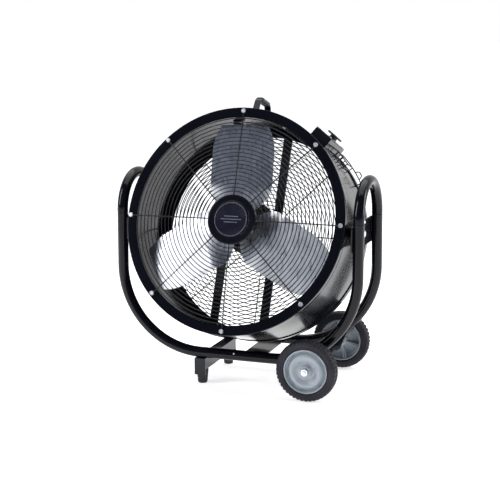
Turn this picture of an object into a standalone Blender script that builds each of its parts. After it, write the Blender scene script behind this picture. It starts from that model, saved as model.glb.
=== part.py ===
"""Axial air mover: a tilting drum fan on a wheeled tubular cradle.

Metres, +Z up. The origin is on the floor under the middle of the fan's overall width and
depth. The air leaves towards -Y, and +X is on the right of someone facing the front guard.
"""

import math

import bmesh
import bpy
from mathutils import Matrix, Vector

# ---- clearances -------------------------------------------------------------------------
TOUCH_GAP = 0.0003        # between pieces that rest on or against each other
RUNNING_GAP = 0.0004      # radial, between a turning shaft and its hole

PIVOT_BEHIND_ORIGIN = 0.009   # puts the origin under the middle of the overall depth

# ---- cradle -----------------------------------------------------------------------------
RIM_TO_TUBE = 0.032           # the drum's rim to an upright's centreline
BASE_HALF_DEPTH = 0.1152      # middle plane to a base tube's centreline
TOP_HALF_DEPTH = 0.1050       # the same at the hoop joints: the uprights lean in
BASE_TUBE_OVER_AXLE = 0.0056
CORNER_RADIUS = 0.250
TUBE_RADIUS = 0.0159
TUBE_WALL = 0.0018
JOINT_ABOVE_PIVOT = 0.0445    # where the hoops slip over the uprights
HOOP_STRAIGHT = 0.008
SPIGOT_PAST_STRAIGHT = 0.004
SPIGOT_ROOT = 0.004           # where the spigot's wall joins the upright's
SCREW_ABOVE_JOINT = 0.008
TUBE_SIDES = 12

PIVOT_OVER_DRUM = 0.0301      # what is added to the rim's radius to clear the base
PIVOT_PLATE_HEIGHT = 0.076
PIVOT_PLATE_THICKNESS = 0.004
PIVOT_BOLT_RADIUS = 0.006
PIVOT_HEAD_RADIUS = 0.0125
PIVOT_HEAD_HEIGHT = 0.0075

# ---- feet and braces --------------------------------------------------------------------
FOOT_X = -0.111
FOOT_Y = 0.108
FOOT_BOTTOM_RADIUS = 0.0145
FOOT_TOP_RADIUS = 0.0180
FOOT_BOSS_RADIUS = 0.0120
CHANNEL_WIDTH = 0.034
CHANNEL_DEPTH = 0.034
CHANNEL_WALL = 0.003
CHANNEL_HALF_LENGTH = 0.130
END_TAB_DROP = 0.016
BRACE_X = 0.041
BRACE_WIDTH = 0.070
BRACE_THICKNESS = 0.003
BRACE_BELOW_TUBE = 0.0029     # its top, below a base tube's centreline

# ---- wheels -----------------------------------------------------------------------------
AXLE_INSET = 0.1262               # in from an upright's centreline
WHEEL_RADIUS = 0.0888
WHEEL_WIDTH = 0.038
WHEEL_Y = 0.1826
AXLE_RADIUS = 0.006
AXLE_TUBE_RADIUS = 0.011
HANGER_THICKNESS = 0.005
HANGER_HALF_WIDTH = 0.024
RIM_SEAT_RADIUS = 0.0640      # where the tyre meets the hub
BUSH_RADIUS = 0.0105
NUT_RADIUS = 0.0110
NUT_HEIGHT = 0.0080

# ---- drum -------------------------------------------------------------------------------
DRUM_TILT = math.radians(17.8)    # nose-up angle as it stands
DRUM_FRONT = 0.1412               # pivot to the front flange's face
DRUM_DEPTH = 0.2707
RIM_RADIUS = 0.3310
RIM_LIP = 0.0290
RIM_SHEET = 0.0024
RIM_SKIRT = 0.0240
SHELL_SHEET = 0.0015
BOLT_INSET = 0.0115                # in from the rim's outer edge
BOLT_COUNT = 8
DRUM_SIDES = 56

# ---- guards -----------------------------------------------------------------------------
WIRE = 0.0030
GUARD_BULGE = 0.0130
GUARD_RINGS = 7
SPOKE_COUNT = 8
GUARD_EDGE_GAP = 0.0040           # last ring to the opening's edge
DISC_RADIUS = 0.0725
DISC_THICKNESS = 0.0030
BADGE_RADIUS = 0.0510
BADGE_THICKNESS = 0.0020

# ---- motor and fan ----------------------------------------------------------------------
BAR_X = 0.078
BAR_WIDTH = 0.027
BAR_THICKNESS = 0.004
BAR_FORWARD = -0.018              # front face of the bars, forward of the pivot
BAR_TAB = 0.030
BAR_TURN = math.radians(2.2)      # both bars stand a little round the drum, top to the right
MOTOR_RADIUS = 0.0680
MOTOR_REAR_RADIUS = 0.0540        # the rear cap sits between the bars
MOTOR_REAR_DEPTH = 0.046
MOTOR_NOSE_RADIUS = 0.0500
MOTOR_NOSE_FORWARD = 0.054
SHAFT_RADIUS = 0.0080
SHAFT_SOCKET = 0.040
HUB_DISC_FORWARD = 0.092
HUB_DISC_THICKNESS = 0.004
HUB_DISC_RADIUS = 0.058
HUB_BARREL_RADIUS = 0.020
HUB_BARREL_LENGTH = 0.042
BLADE_COUNT = 3
BLADE_CLEARANCE = 0.0368          # blade tip to the shell's inner face
BLADE_HALF_WIDTH = 0.089
BLADE_SHEET = 0.0020
BLADE_PITCH = math.radians(11.0)
BLADE_START = math.radians(-2.0)  # where the first blade stands

# ---- controls, handle and cord rack -----------------------------------------------------
BOX_ANGLE = math.radians(51.9)    # round the drum, up from the right-hand side
BOX_WIDTH = 0.060
BOX_SHARE = 0.5357                # of the drum's depth
BOX_HEIGHT = 0.030
BOX_FROM_REAR = 0.1120            # the drum's rear face to the middle of the box
BOX_LID = 0.003
KNOB_BEHIND_MIDDLE = 0.0125
KNOB_RADIUS = 0.0255
KNOB_THICKNESS = 0.006
KNOB_NECK_RADIUS = 0.0125
KNOB_STEM_RADIUS = 0.0040
KNOB_STANDOFF = 0.0085
KNOB_RANGE = math.radians(135.0)
HANDLE_FROM_FRONT = 0.0912
HANDLE_FROM_REAR = 0.0545
HANDLE_HEIGHT = 0.056
HANDLE_WIDTH = 0.020
HANDLE_SHEET = 0.004
GRIP_WIDTH = 0.024
GRIP_WALL = 0.0045
RACK_BOX_GAP = 0.0038
RACK_LADDER_SPAN = math.radians(9.5)
RACK_SPAN = math.radians(18.5)
RACK_LENGTH = 0.0601
RACK_STANDOFF = 0.0165
RACK_HOOK = 0.012
RACK_WIRE = 0.0034
RACK_RUNGS = 5

# ---- sizes that follow from the ones above ------------------------------------------------
FRAME_HALF_WIDTH = RIM_RADIUS + RIM_TO_TUBE      # middle plane to an upright's centreline
AXLE_X = FRAME_HALF_WIDTH - AXLE_INSET
BASE_TUBE_HEIGHT = WHEEL_RADIUS + BASE_TUBE_OVER_AXLE
BRACE_TOP = BASE_TUBE_HEIGHT - BRACE_BELOW_TUBE
PIVOT_HEIGHT = BASE_TUBE_HEIGHT + RIM_RADIUS + PIVOT_OVER_DRUM
JOINT_HEIGHT = PIVOT_HEIGHT + JOINT_ABOVE_PIVOT
LEAN = math.atan2(BASE_HALF_DEPTH - TOP_HALF_DEPTH, JOINT_HEIGHT - BASE_TUBE_HEIGHT)
TUBE_BORE = TUBE_RADIUS - TUBE_WALL
PLATE_OUTER_X = FRAME_HALF_WIDTH - TUBE_RADIUS - TOUCH_GAP
PLATE_INNER_X = PLATE_OUTER_X - PIVOT_PLATE_THICKNESS
CHANNEL_TOP = BASE_TUBE_HEIGHT - TUBE_RADIUS - TOUCH_GAP
SHELL_RADIUS = RIM_RADIUS - RIM_SHEET - TOUCH_GAP
SHELL_INNER = SHELL_RADIUS - SHELL_SHEET
OPENING_RADIUS = RIM_RADIUS - RIM_LIP
BOLT_CIRCLE = RIM_RADIUS - BOLT_INSET
BLADE_TIP = SHELL_INNER - BLADE_CLEARANCE
DRUM_REAR = DRUM_FRONT - DRUM_DEPTH
HANDLE_FRONT = DRUM_FRONT - HANDLE_FROM_FRONT
HANDLE_REAR = DRUM_REAR + HANDLE_FROM_REAR
BOX_LENGTH = DRUM_DEPTH * BOX_SHARE
BOX_MIDDLE_FORWARD = DRUM_REAR + BOX_FROM_REAR
KNOB_FORWARD = BOX_MIDDLE_FORWARD - KNOB_BEHIND_MIDDLE
RACK_ANGLE_HIGH = BOX_ANGLE - math.asin(BOX_WIDTH / 2 / SHELL_RADIUS) - RACK_BOX_GAP / SHELL_RADIUS
RACK_ANGLE_MIDDLE = RACK_ANGLE_HIGH - RACK_LADDER_SPAN    # where the front ladder ends
RACK_ANGLE_LOW = RACK_ANGLE_HIGH - RACK_SPAN
BAR_REAR_FACE = BAR_FORWARD - BAR_THICKNESS
RACK_RADIUS = SHELL_RADIUS + RACK_STANDOFF
RACK_REAR = DRUM_REAR + RIM_SKIRT + RACK_WIRE + 0.010
RACK_FRONT = RACK_REAR + RACK_LENGTH
BOX_BASE = SHELL_RADIUS + TOUCH_GAP
BOX_TOP = BOX_BASE + BOX_HEIGHT

# ---- finishes -----------------------------------------------------------------------------
FINISHES = {
    "gloss_black": ((0.010, 0.011, 0.016, 1.0), 0.22, 0.0),
    "zinc": ((0.72, 0.74, 0.76, 1.0), 0.28, 1.0),
    "aluminium": ((0.78, 0.80, 0.82, 1.0), 0.30, 1.0),
    "rubber": ((0.015, 0.015, 0.017, 1.0), 0.75, 0.0),
    "tyre": ((0.018, 0.016, 0.024, 1.0), 0.65, 0.0),
    "hub_grey": ((0.42, 0.45, 0.48, 1.0), 0.45, 0.0),
    "black_plastic": ((0.020, 0.021, 0.026, 1.0), 0.45, 0.0),
    "badge": ((0.030, 0.034, 0.070, 1.0), 0.35, 0.0),
    "steel": ((0.50, 0.51, 0.52, 1.0), 0.32, 1.0),
}


def clear_scene():
    for old in list(bpy.data.objects):
        bpy.data.objects.remove(old, do_unlink=True)


def finish_material(name, finish):
    """One material for one piece, from the finish table."""
    colour, roughness, metallic = FINISHES[finish]
    material = bpy.data.materials.new(name + "_" + finish)
    material.use_nodes = True
    shader = material.node_tree.nodes["Principled BSDF"]
    shader.inputs["Base Color"].default_value = colour
    shader.inputs["Roughness"].default_value = roughness
    shader.inputs["Metallic"].default_value = metallic
    return material


def add_empty(name, parent=None, location=(0, 0, 0), rotation=(0, 0, 0)):
    empty = bpy.data.objects.new(name, None)
    empty.location = location
    empty.rotation_euler = rotation
    empty.parent = parent
    bpy.context.scene.collection.objects.link(empty)
    return empty


def add_piece(name, shape, finish=None, parent=None, location=(0, 0, 0), rotation=(0, 0, 0)):
    """Turn a bmesh into a named object. A piece with no finish is a cutter."""
    bmesh.ops.recalc_face_normals(shape, faces=shape.faces)
    mesh = bpy.data.meshes.new(name)
    shape.to_mesh(mesh)
    shape.free()
    mesh.shade_smooth()
    mesh.set_sharp_from_angle(angle=math.radians(32))
    piece = bpy.data.objects.new(name, mesh)
    piece.location = location
    piece.rotation_euler = rotation
    piece.parent = parent
    bpy.context.scene.collection.objects.link(piece)
    if finish is None:
        piece.hide_render = True
        piece.display_type = "WIRE"
    else:
        mesh.materials.append(finish_material(name, finish))
    return piece


def cut(piece, cutter, operation="DIFFERENCE"):
    """Boolean one piece with a hidden one."""
    boolean = piece.modifiers.new(operation.lower() + "_" + cutter.name, "BOOLEAN")
    boolean.operation = operation
    boolean.solver = "EXACT"
    boolean.object = cutter


# ---- shapes -------------------------------------------------------------------------------
def turned(profile, sides, axis="Y", closed=False, phase=0.0):
    """Revolve (radius, along) points round an axis. A closed profile makes a ring."""
    shape = bmesh.new()
    rings = []
    for radius, along in profile:
        if radius < 1e-9:
            rings.append([shape.verts.new(on_axis(0.0, 0.0, along, axis))] * sides)
            continue
        ring = []
        for step in range(sides):
            angle = phase + 2 * math.pi * step / sides
            ring.append(shape.verts.new(on_axis(radius, angle, along, axis)))
        rings.append(ring)
    pairs = list(zip(rings, rings[1:]))
    if closed:
        pairs.append((rings[-1], rings[0]))
    for near, far in pairs:
        for step in range(sides):
            after = (step + 1) % sides
            corners = [near[step], near[after], far[after], far[step]]
            distinct = list(dict.fromkeys(corners))
            if len(distinct) > 2:
                shape.faces.new(distinct)
    return shape


def on_axis(radius, angle, along, axis):
    """A point at a radius and angle round an axis; round Y the angle starts at +X towards +Z."""
    across = radius * math.cos(angle)
    up = radius * math.sin(angle)
    if axis == "Y":
        return Vector((across, along, up))
    if axis == "X":
        return Vector((along, across, up))
    return Vector((across, up, along))


def block(low, high):
    shape = bmesh.new()
    bmesh.ops.create_cube(shape, size=1.0)
    low = Vector(low)
    high = Vector(high)
    size = high - low
    bmesh.ops.scale(shape, vec=size, verts=shape.verts)
    bmesh.ops.translate(shape, vec=(low + high) / 2, verts=shape.verts)
    return shape


def extruded(outline, start, end, axis="X"):
    """A flat outline of (a, b) points pushed from start to end along an axis.

    The outline's two directions are (Y, Z) along X, (X, Z) along Y and (X, Y) along Z.
    """
    shape = bmesh.new()

    def place(a, b, along):
        if axis == "X":
            return Vector((along, a, b))
        if axis == "Y":
            return Vector((a, along, b))
        return Vector((a, b, along))

    near = [shape.verts.new(place(a, b, start)) for a, b in outline]
    far = [shape.verts.new(place(a, b, end)) for a, b in outline]
    shape.faces.new(near)
    shape.faces.new(far)
    for i in range(len(outline)):
        j = (i + 1) % len(outline)
        shape.faces.new([near[i], near[j], far[j], far[i]])
    return shape


def arc(centre, radius, start, end, steps):
    """Points (a, b) along an arc, both ends included."""
    points = []
    for step in range(steps + 1):
        angle = start + (end - start) * step / steps
        points.append((centre[0] + radius * math.cos(angle), centre[1] + radius * math.sin(angle)))
    return points


def pipe(path, normal, sides=TUBE_SIDES):
    """A tube along (point, direction, radius, bore) stations that lie in one plane."""
    shape = bmesh.new()
    normal = Vector(normal).normalized()
    outer = []
    inner = []
    for point, direction, radius, bore in path:
        side = Vector(direction).normalized().cross(normal)
        for rings, size in ((outer, radius), (inner, bore)):
            ring = []
            for step in range(sides):
                angle = 2 * math.pi * step / sides
                ring.append(shape.verts.new(Vector(point) + size * (math.cos(angle) * normal + math.sin(angle) * side)))
            rings.append(ring)
    for rings in (outer, inner):
        for near, far in zip(rings, rings[1:]):
            bridge(shape, near, far)
    bridge(shape, outer[0], inner[0])
    bridge(shape, outer[-1], inner[-1])
    return shape


def bridge(shape, near, far):
    for step in range(len(near)):
        after = (step + 1) % len(near)
        shape.faces.new([near[step], near[after], far[after], far[step]])


def rod(path, radius, sides):
    """A solid round wire along a list of points."""
    shape = bmesh.new()
    rings = []
    side = None
    for i, point in enumerate(path):
        before = path[max(i - 1, 0)]
        after = path[min(i + 1, len(path) - 1)]
        direction = (after - before).normalized()
        if side is None:
            side = direction.orthogonal().normalized()
        side = (side - direction * side.dot(direction)).normalized()
        other = direction.cross(side)
        ring = []
        for step in range(sides):
            angle = 2 * math.pi * step / sides
            ring.append(shape.verts.new(point + radius * (math.cos(angle) * side + math.sin(angle) * other)))
        rings.append(ring)
    for near, far in zip(rings, rings[1:]):
        bridge(shape, near, far)
    shape.faces.new(rings[0])
    shape.faces.new(rings[-1])
    return shape


def join(shapes):
    """Put several shapes in one bmesh."""
    whole = bmesh.new()
    for shape in shapes:
        mesh = bpy.data.meshes.new("joined")
        shape.to_mesh(mesh)
        shape.free()
        whole.from_mesh(mesh)
        bpy.data.meshes.remove(mesh)
    return whole


def fastener(shank_radius, shank_length, head_radius, head_height, axis="Y", collar=0.0):
    """A hex-headed bolt: head towards -axis, shank towards +axis, seat at 0."""
    profile = [(0.0, shank_length), (shank_radius, shank_length), (shank_radius, 0.0)]
    if collar:
        collar_radius = (shank_radius + head_radius) / 2
        profile += [(collar_radius, 0.0), (collar_radius, -collar)]
    profile += [(head_radius, -collar), (head_radius, -collar - head_height), (0.0, -collar - head_height)]
    return turned(profile, 6, axis=axis)


# ---- cradle -------------------------------------------------------------------------------
def leaning_point(x, up, side):
    """A point of a leaning end frame: side is -1 at the front and +1 at the rear."""
    depth = BASE_HALF_DEPTH - up * math.sin(LEAN)
    return Vector((x, side * depth, BASE_TUBE_HEIGHT + up * math.cos(LEAN)))


def end_frame_path(side):
    """Stations along one U: up the left upright to its spigot, round, and up the right one."""
    rise = (JOINT_HEIGHT - BASE_TUBE_HEIGHT) / math.cos(LEAN)
    straight = FRAME_HALF_WIDTH - CORNER_RADIUS
    spigot_radius = TUBE_BORE - TOUCH_GAP
    spigot_bore = spigot_radius - TUBE_WALL
    right = [(0.0, 0.0, 1.0, 0.0, TUBE_RADIUS, TUBE_BORE)]
    for a, b in arc((straight, CORNER_RADIUS), CORNER_RADIUS, -math.pi / 2, 0.0, 10):
        angle = math.atan2(b - CORNER_RADIUS, a - straight)
        right.append((a, b, -math.sin(angle), math.cos(angle), TUBE_RADIUS, TUBE_BORE))
    right.append((FRAME_HALF_WIDTH, rise - SPIGOT_ROOT, 0.0, 1.0, TUBE_RADIUS, TUBE_BORE))
    right.append((FRAME_HALF_WIDTH, rise - SPIGOT_ROOT, 0.0, 1.0, TUBE_RADIUS, spigot_bore))
    right.append((FRAME_HALF_WIDTH, rise, 0.0, 1.0, TUBE_RADIUS, spigot_bore))
    right.append((FRAME_HALF_WIDTH, rise, 0.0, 1.0, spigot_radius, spigot_bore))
    right.append((FRAME_HALF_WIDTH, rise + HOOP_STRAIGHT + SPIGOT_PAST_STRAIGHT, 0.0, 1.0, spigot_radius, spigot_bore))
    left = [(-a, b, da, -db, radius, bore) for a, b, da, db, radius, bore in reversed(right)]
    origin = leaning_point(0.0, 0.0, side)
    path = []
    for a, b, da, db, radius, bore in left[:-1] + right:
        ahead = leaning_point(da, db, side) - origin
        path.append((leaning_point(a, b, side), ahead, radius, bore))
    return path


def build_end_frames():
    for name, side in (("front_u_tube", -1), ("rear_u_tube", 1)):
        across = leaning_point(1.0, 0.0, side) - leaning_point(0.0, 0.0, side)
        upward = leaning_point(0.0, 1.0, side) - leaning_point(0.0, 0.0, side)
        frame = add_piece(name, pipe(end_frame_path(side), across.cross(upward)), "gloss_black")
        for end in (-1, 1):
            drill_joint_hole(frame, name, end, side)


def drill_joint_hole(piece, name, end, side):
    """The screw hole through one wall of a hoop joint, from the outside."""
    x_start = end * (FRAME_HALF_WIDTH + TUBE_RADIUS / 2)
    x_end = end * (FRAME_HALF_WIDTH + TUBE_RADIUS * 1.5)
    hole = add_piece(
        "hole_" + name + "_" + ("right" if end > 0 else "left") + ("_rear" if side > 0 else "_front"),
        turned([(0, x_start), (0.0028, x_start), (0.0028, x_end), (0, x_end)], 8, axis="X"),
        location=joint_screw_place(side),
    )
    cut(piece, hole)


def joint_screw_place(side):
    up = (JOINT_HEIGHT + SCREW_ABOVE_JOINT - BASE_TUBE_HEIGHT) / math.cos(LEAN)
    point = leaning_point(0.0, up, side)
    return (0.0, point.y, point.z)


def build_hoops():
    """Each hoop joins a front and a rear upright at one side."""
    start_up = (JOINT_HEIGHT - BASE_TUBE_HEIGHT) / math.cos(LEAN) + TOUCH_GAP
    spring = leaning_point(0.0, start_up + HOOP_STRAIGHT, 1)
    radius = spring.y / math.cos(LEAN)
    centre_z = spring.z - radius * math.sin(LEAN)
    for name, end in (("left_hoop", -1), ("right_hoop", 1)):
        x = end * FRAME_HALF_WIDTH
        foot = leaning_point(x, start_up, 1)
        path = [(foot, Vector((0, -math.sin(LEAN), math.cos(LEAN))), TUBE_RADIUS, TUBE_BORE)]
        bend = math.pi - 2 * LEAN
        nearly = math.radians(3)
        turns = [0.0, nearly] + [bend * k / 13 for k in range(1, 13)] + [bend - nearly, bend]
        for turn in turns:
            angle = LEAN + turn
            a = radius * math.cos(angle)
            b = centre_z + radius * math.sin(angle)
            path.append((Vector((x, a, b)), Vector((0, -math.sin(angle), math.cos(angle))), TUBE_RADIUS, TUBE_BORE))
        foot = leaning_point(x, start_up, -1)
        path.append((foot, Vector((0, -math.sin(LEAN), -math.cos(LEAN))), TUBE_RADIUS, TUBE_BORE))
        hoop = add_piece(name, pipe(path, (1, 0, 0)), "gloss_black")
        for side in (-1, 1):
            drill_joint_hole(hoop, name, end, side)


def build_hoop_screws():
    """One screw through each hoop joint, its head outside."""
    for end_name, end in (("left", -1), ("right", 1)):
        for side_name, side in (("front", -1), ("rear", 1)):
            seat = end * (FRAME_HALF_WIDTH + TUBE_RADIUS + TOUCH_GAP)
            profile = [
                (0, seat - end * 0.006),
                (0.0022, seat - end * 0.006),
                (0.0022, seat),
                (0.0042, seat),
                (0.0034, seat + end * 0.0020),
                (0, seat + end * 0.0024),
            ]
            add_piece(
                end_name + "_" + side_name + "_hoop_screw",
                turned(profile, 10, axis="X"),
                "zinc",
                location=joint_screw_place(side),
            )


def upright_depth(z):
    """Middle plane to an upright's centreline at a height."""
    return BASE_HALF_DEPTH - (z - BASE_TUBE_HEIGHT) * math.tan(LEAN)


def build_pivot_plates():
    """Flat plates across the uprights' inner faces, drilled for the pivot bolts."""
    low = PIVOT_HEIGHT - PIVOT_PLATE_HEIGHT / 2
    high = PIVOT_HEIGHT + PIVOT_PLATE_HEIGHT / 2
    corner = 0.008
    outline = []
    for sign_y, sign_z, start in ((1, -1, -90), (1, 1, 0), (-1, 1, 90), (-1, -1, 180)):
        z = low if sign_z < 0 else high
        reach = upright_depth(z) + TUBE_RADIUS / 2
        middle = (sign_y * (reach - corner), z - sign_z * corner)
        outline += arc(middle, corner, math.radians(start), math.radians(start + 90), 3)
    for name, end in (("left_pivot_plate", -1), ("right_pivot_plate", 1)):
        inner = end * PLATE_INNER_X
        outer = end * PLATE_OUTER_X
        plate = add_piece(name, extruded(outline, inner, outer, axis="X"), "gloss_black")
        radius = PIVOT_BOLT_RADIUS + RUNNING_GAP
        hole = add_piece(
            name + "_hole",
            turned([(0, inner - end * 0.01), (radius, inner - end * 0.01), (radius, outer + end * 0.01),
                    (0, outer + end * 0.01)], 20, axis="X"),
            location=(0, 0, PIVOT_HEIGHT),
        )
        cut(plate, hole)


def channel(name, x, width, end_tabs):
    """An inverted steel channel under both base tubes, open below."""
    top = CHANNEL_TOP
    bottom = top - CHANNEL_DEPTH
    half = width / 2
    body = add_piece(name, block((x - half, -CHANNEL_HALF_LENGTH, bottom), (x + half, CHANNEL_HALF_LENGTH, top)),
                     "gloss_black")
    hollow = block(
        (x - half + CHANNEL_WALL, -CHANNEL_HALF_LENGTH + CHANNEL_WALL, bottom - CHANNEL_DEPTH),
        (x + half - CHANNEL_WALL, CHANNEL_HALF_LENGTH - CHANNEL_WALL, top - CHANNEL_WALL),
    )
    cut(body, add_piece(name + "_hollow", hollow))
    if end_tabs:
        for side_name, side in (("front", -1), ("rear", 1)):
            inner = side * (CHANNEL_HALF_LENGTH - CHANNEL_WALL)
            outer = side * CHANNEL_HALF_LENGTH
            tab = block(
                (x - half, min(inner, outer), bottom - END_TAB_DROP),
                (x + half, max(inner, outer), bottom + CHANNEL_DEPTH / 2),
            )
            cut(body, add_piece(name + "_tab_" + side_name, tab), "UNION")
    return body


def build_feet():
    channel("foot_channel", FOOT_X, CHANNEL_WIDTH, end_tabs=True)
    shoulder = CHANNEL_TOP - CHANNEL_DEPTH - TOUCH_GAP
    seat = CHANNEL_TOP - CHANNEL_WALL - TOUCH_GAP
    profile = [
        (0, 0.0),
        (FOOT_BOTTOM_RADIUS - 0.002, 0.0),
        (FOOT_BOTTOM_RADIUS, 0.003),
        (FOOT_TOP_RADIUS, shoulder),
        (FOOT_BOSS_RADIUS, shoulder),
        (FOOT_BOSS_RADIUS, seat),
        (0, seat),
    ]
    for name, side in (("front_foot", -1), ("rear_foot", 1)):
        limit = CHANNEL_HALF_LENGTH - CHANNEL_WALL - TOUCH_GAP - FOOT_TOP_RADIUS
        y = side * min(FOOT_Y, limit)
        add_piece(name, turned(profile, 20, axis="Z"), "rubber", location=(FOOT_X, y, 0))


def build_centre_brace():
    """A flat bar between the base tubes, cut to their curved sides."""
    low = BRACE_TOP - BRACE_THICKNESS
    bar = block(
        (BRACE_X - BRACE_WIDTH / 2, -BASE_HALF_DEPTH, low),
        (BRACE_X + BRACE_WIDTH / 2, BASE_HALF_DEPTH, BRACE_TOP),
    )
    brace = add_piece("centre_brace", bar, "gloss_black")
    reach = FRAME_HALF_WIDTH
    radius = TUBE_RADIUS + TOUCH_GAP
    for name, side in (("front", -1), ("rear", 1)):
        profile = [(0, -reach), (radius, -reach), (radius, reach), (0, reach)]
        notch = add_piece(
            "brace_notch_" + name,
            turned(profile, 28, axis="X"),
            location=(0, side * BASE_HALF_DEPTH, BASE_TUBE_HEIGHT),
        )
        cut(brace, notch)


def corner_angle(x):
    """Angle round the right-hand corner's centre of the tube point at x."""
    return -math.acos((x - (FRAME_HALF_WIDTH - CORNER_RADIUS)) / CORNER_RADIUS)


def build_axle_mounting():
    """Two hanger plates under the corner bends, a tube between them and the axle through it."""
    centre = (FRAME_HALF_WIDTH - CORNER_RADIUS, BASE_TUBE_HEIGHT + CORNER_RADIUS)
    seat_radius = CORNER_RADIUS + TUBE_RADIUS + TOUCH_GAP
    boss = AXLE_TUBE_RADIUS + 0.007
    outline = arc(centre, seat_radius, corner_angle(AXLE_X - HANGER_HALF_WIDTH),
                  corner_angle(AXLE_X + HANGER_HALF_WIDTH), 6)
    outline += arc((AXLE_X, WHEEL_RADIUS), boss, 0.0, -math.pi, 10)
    for name, side in (("front_hanger", -1), ("rear_hanger", 1)):
        y = side * BASE_HALF_DEPTH
        plate = add_piece(name, extruded(outline, y - HANGER_THICKNESS / 2, y + HANGER_THICKNESS / 2, axis="Y"),
                          "gloss_black")
        radius = AXLE_TUBE_RADIUS + TOUCH_GAP
        profile = [(0, -0.02), (radius, -0.02), (radius, 0.02), (0, 0.02)]
        cut(plate, add_piece(name + "_hole", turned(profile, 20), location=(AXLE_X, y, WHEEL_RADIUS)))

    half = WHEEL_Y - WHEEL_WIDTH / 2 - TOUCH_GAP
    bore = AXLE_RADIUS + TOUCH_GAP
    sleeve = [(bore, -half), (AXLE_TUBE_RADIUS, -half), (AXLE_TUBE_RADIUS, half), (bore, half)]
    add_piece("axle_tube", turned(sleeve, 20, closed=True), "gloss_black", location=(AXLE_X, 0, WHEEL_RADIUS))
    outer = WHEEL_Y + WHEEL_WIDTH / 2 + TOUCH_GAP
    tip = outer + NUT_HEIGHT + 0.0015
    axle = [(0, -tip), (AXLE_RADIUS - 0.001, -tip), (AXLE_RADIUS, -tip + 0.001), (AXLE_RADIUS, tip - 0.001),
            (AXLE_RADIUS - 0.001, tip), (0, tip)]
    add_piece("axle", turned(axle, 20), "steel", location=(AXLE_X, 0, WHEEL_RADIUS))
    for name, side in (("front", -1), ("rear", 1)):
        near = side * outer
        far = side * (outer + NUT_HEIGHT)
        flats = bore / math.cos(math.pi / 6)
        nut = [(flats, near), (NUT_RADIUS, near), (NUT_RADIUS, far), (flats, far)]
        add_piece(name + "_axle_nut", turned(nut, 6, closed=True), "zinc", location=(AXLE_X, 0, WHEEL_RADIUS))


# ---- wheels -------------------------------------------------------------------------------
def build_wheel(name, side):
    centre = add_empty(name + "_axis", location=(AXLE_X, side * WHEEL_Y, WHEEL_RADIUS))
    half = WHEEL_WIDTH / 2
    shoulder = 0.006
    tread = 0.004
    tyre = [
        (RIM_SEAT_RADIUS, -half + tread),
        (RIM_SEAT_RADIUS + 0.004, -half),
        (WHEEL_RADIUS - shoulder, -half),
        (WHEEL_RADIUS - 0.0015, -half + tread),
        (WHEEL_RADIUS, -half + 2 * tread),
        (WHEEL_RADIUS, half - 2 * tread),
        (WHEEL_RADIUS - 0.0015, half - tread),
        (WHEEL_RADIUS - shoulder, half),
        (RIM_SEAT_RADIUS + 0.004, half),
        (RIM_SEAT_RADIUS, half - tread),
    ]
    add_piece(name + "_tyre", turned(tyre, 32, closed=True), "tyre", parent=centre)
    bush_bore = AXLE_RADIUS + RUNNING_GAP
    seat = BUSH_RADIUS + TOUCH_GAP
    rim = RIM_SEAT_RADIUS - TOUCH_GAP
    front = -side * half
    outward = side
    hub = [
        (seat, half * outward),
        (seat + 0.010, half * outward),
        (seat + 0.014, (half - 0.004) * outward),
        (rim - 0.016, (half - 0.008) * outward),
        (rim - 0.008, (half - 0.003) * outward),
        (rim, (half - 0.004) * outward),
        (rim, -(half - 0.004) * outward),
        (rim - 0.006, -(half - 0.004) * outward),
        (rim - 0.008, (half - 0.012) * outward),
        (seat + 0.012, (half - 0.014) * outward),
        (seat + 0.006, front),
        (seat, front),
    ]
    add_piece(name + "_hub", turned(hub, 32, closed=True), "hub_grey", parent=centre)
    bush = [(bush_bore, -half), (BUSH_RADIUS, -half), (BUSH_RADIUS, half), (bush_bore, half)]
    add_piece(name + "_bush", turned(bush, 20, closed=True), "black_plastic", parent=centre)


# ---- drum ---------------------------------------------------------------------------------
def forward(distance):
    """Drum pieces are modelled level: the air leaves towards -Y."""
    return -distance


def shell_cutter(name, parent, radius):
    reach = DRUM_DEPTH
    profile = [(0, -reach), (radius, -reach), (radius, reach), (0, reach)]
    return add_piece(name, turned(profile, DRUM_SIDES), parent=parent)


def build_drum_body(drum):
    front = DRUM_FRONT - RIM_SHEET - TOUCH_GAP
    rear = DRUM_REAR + RIM_SHEET + TOUCH_GAP
    shell = [(SHELL_INNER, forward(front)), (SHELL_RADIUS, forward(front)),
             (SHELL_RADIUS, forward(rear)), (SHELL_INNER, forward(rear))]
    shell_piece = add_piece("drum_shell", turned(shell, DRUM_SIDES, closed=True), "gloss_black", parent=drum)
    slot = block((0.0, -0.006, -0.006), (0.05, 0.006, 0.006))
    bmesh.ops.translate(slot, vec=(SHELL_RADIUS - 0.02, 0, 0), verts=slot.verts)
    wire_hole = add_piece("wire_hole", slot, parent=drum,
                          location=(0, forward(BOX_MIDDLE_FORWARD), 0), rotation=(0, -BOX_ANGLE, 0))
    cut(shell_piece, wire_hole)
    for name, face, inward in (("front_rim", DRUM_FRONT, -1), ("rear_rim", DRUM_REAR, 1)):
        back = face + inward * RIM_SHEET
        skirt = face + inward * RIM_SKIRT
        bead = 0.0030
        profile = [
            (OPENING_RADIUS, forward(face)),
            (RIM_RADIUS - bead, forward(face)),
            (RIM_RADIUS, forward(face + inward * bead)),
            (RIM_RADIUS, forward(skirt)),
            (RIM_RADIUS - RIM_SHEET, forward(skirt)),
            (RIM_RADIUS - RIM_SHEET, forward(back)),
            (OPENING_RADIUS, forward(back)),
        ]
        rim = add_piece(name, turned(profile, DRUM_SIDES, closed=True), "gloss_black", parent=drum)
        if name == "front_rim":
            drill_bolt_circle(rim, drum)


def bolt_angle(index):
    return math.pi / 2 + 2 * math.pi * index / BOLT_COUNT


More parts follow.
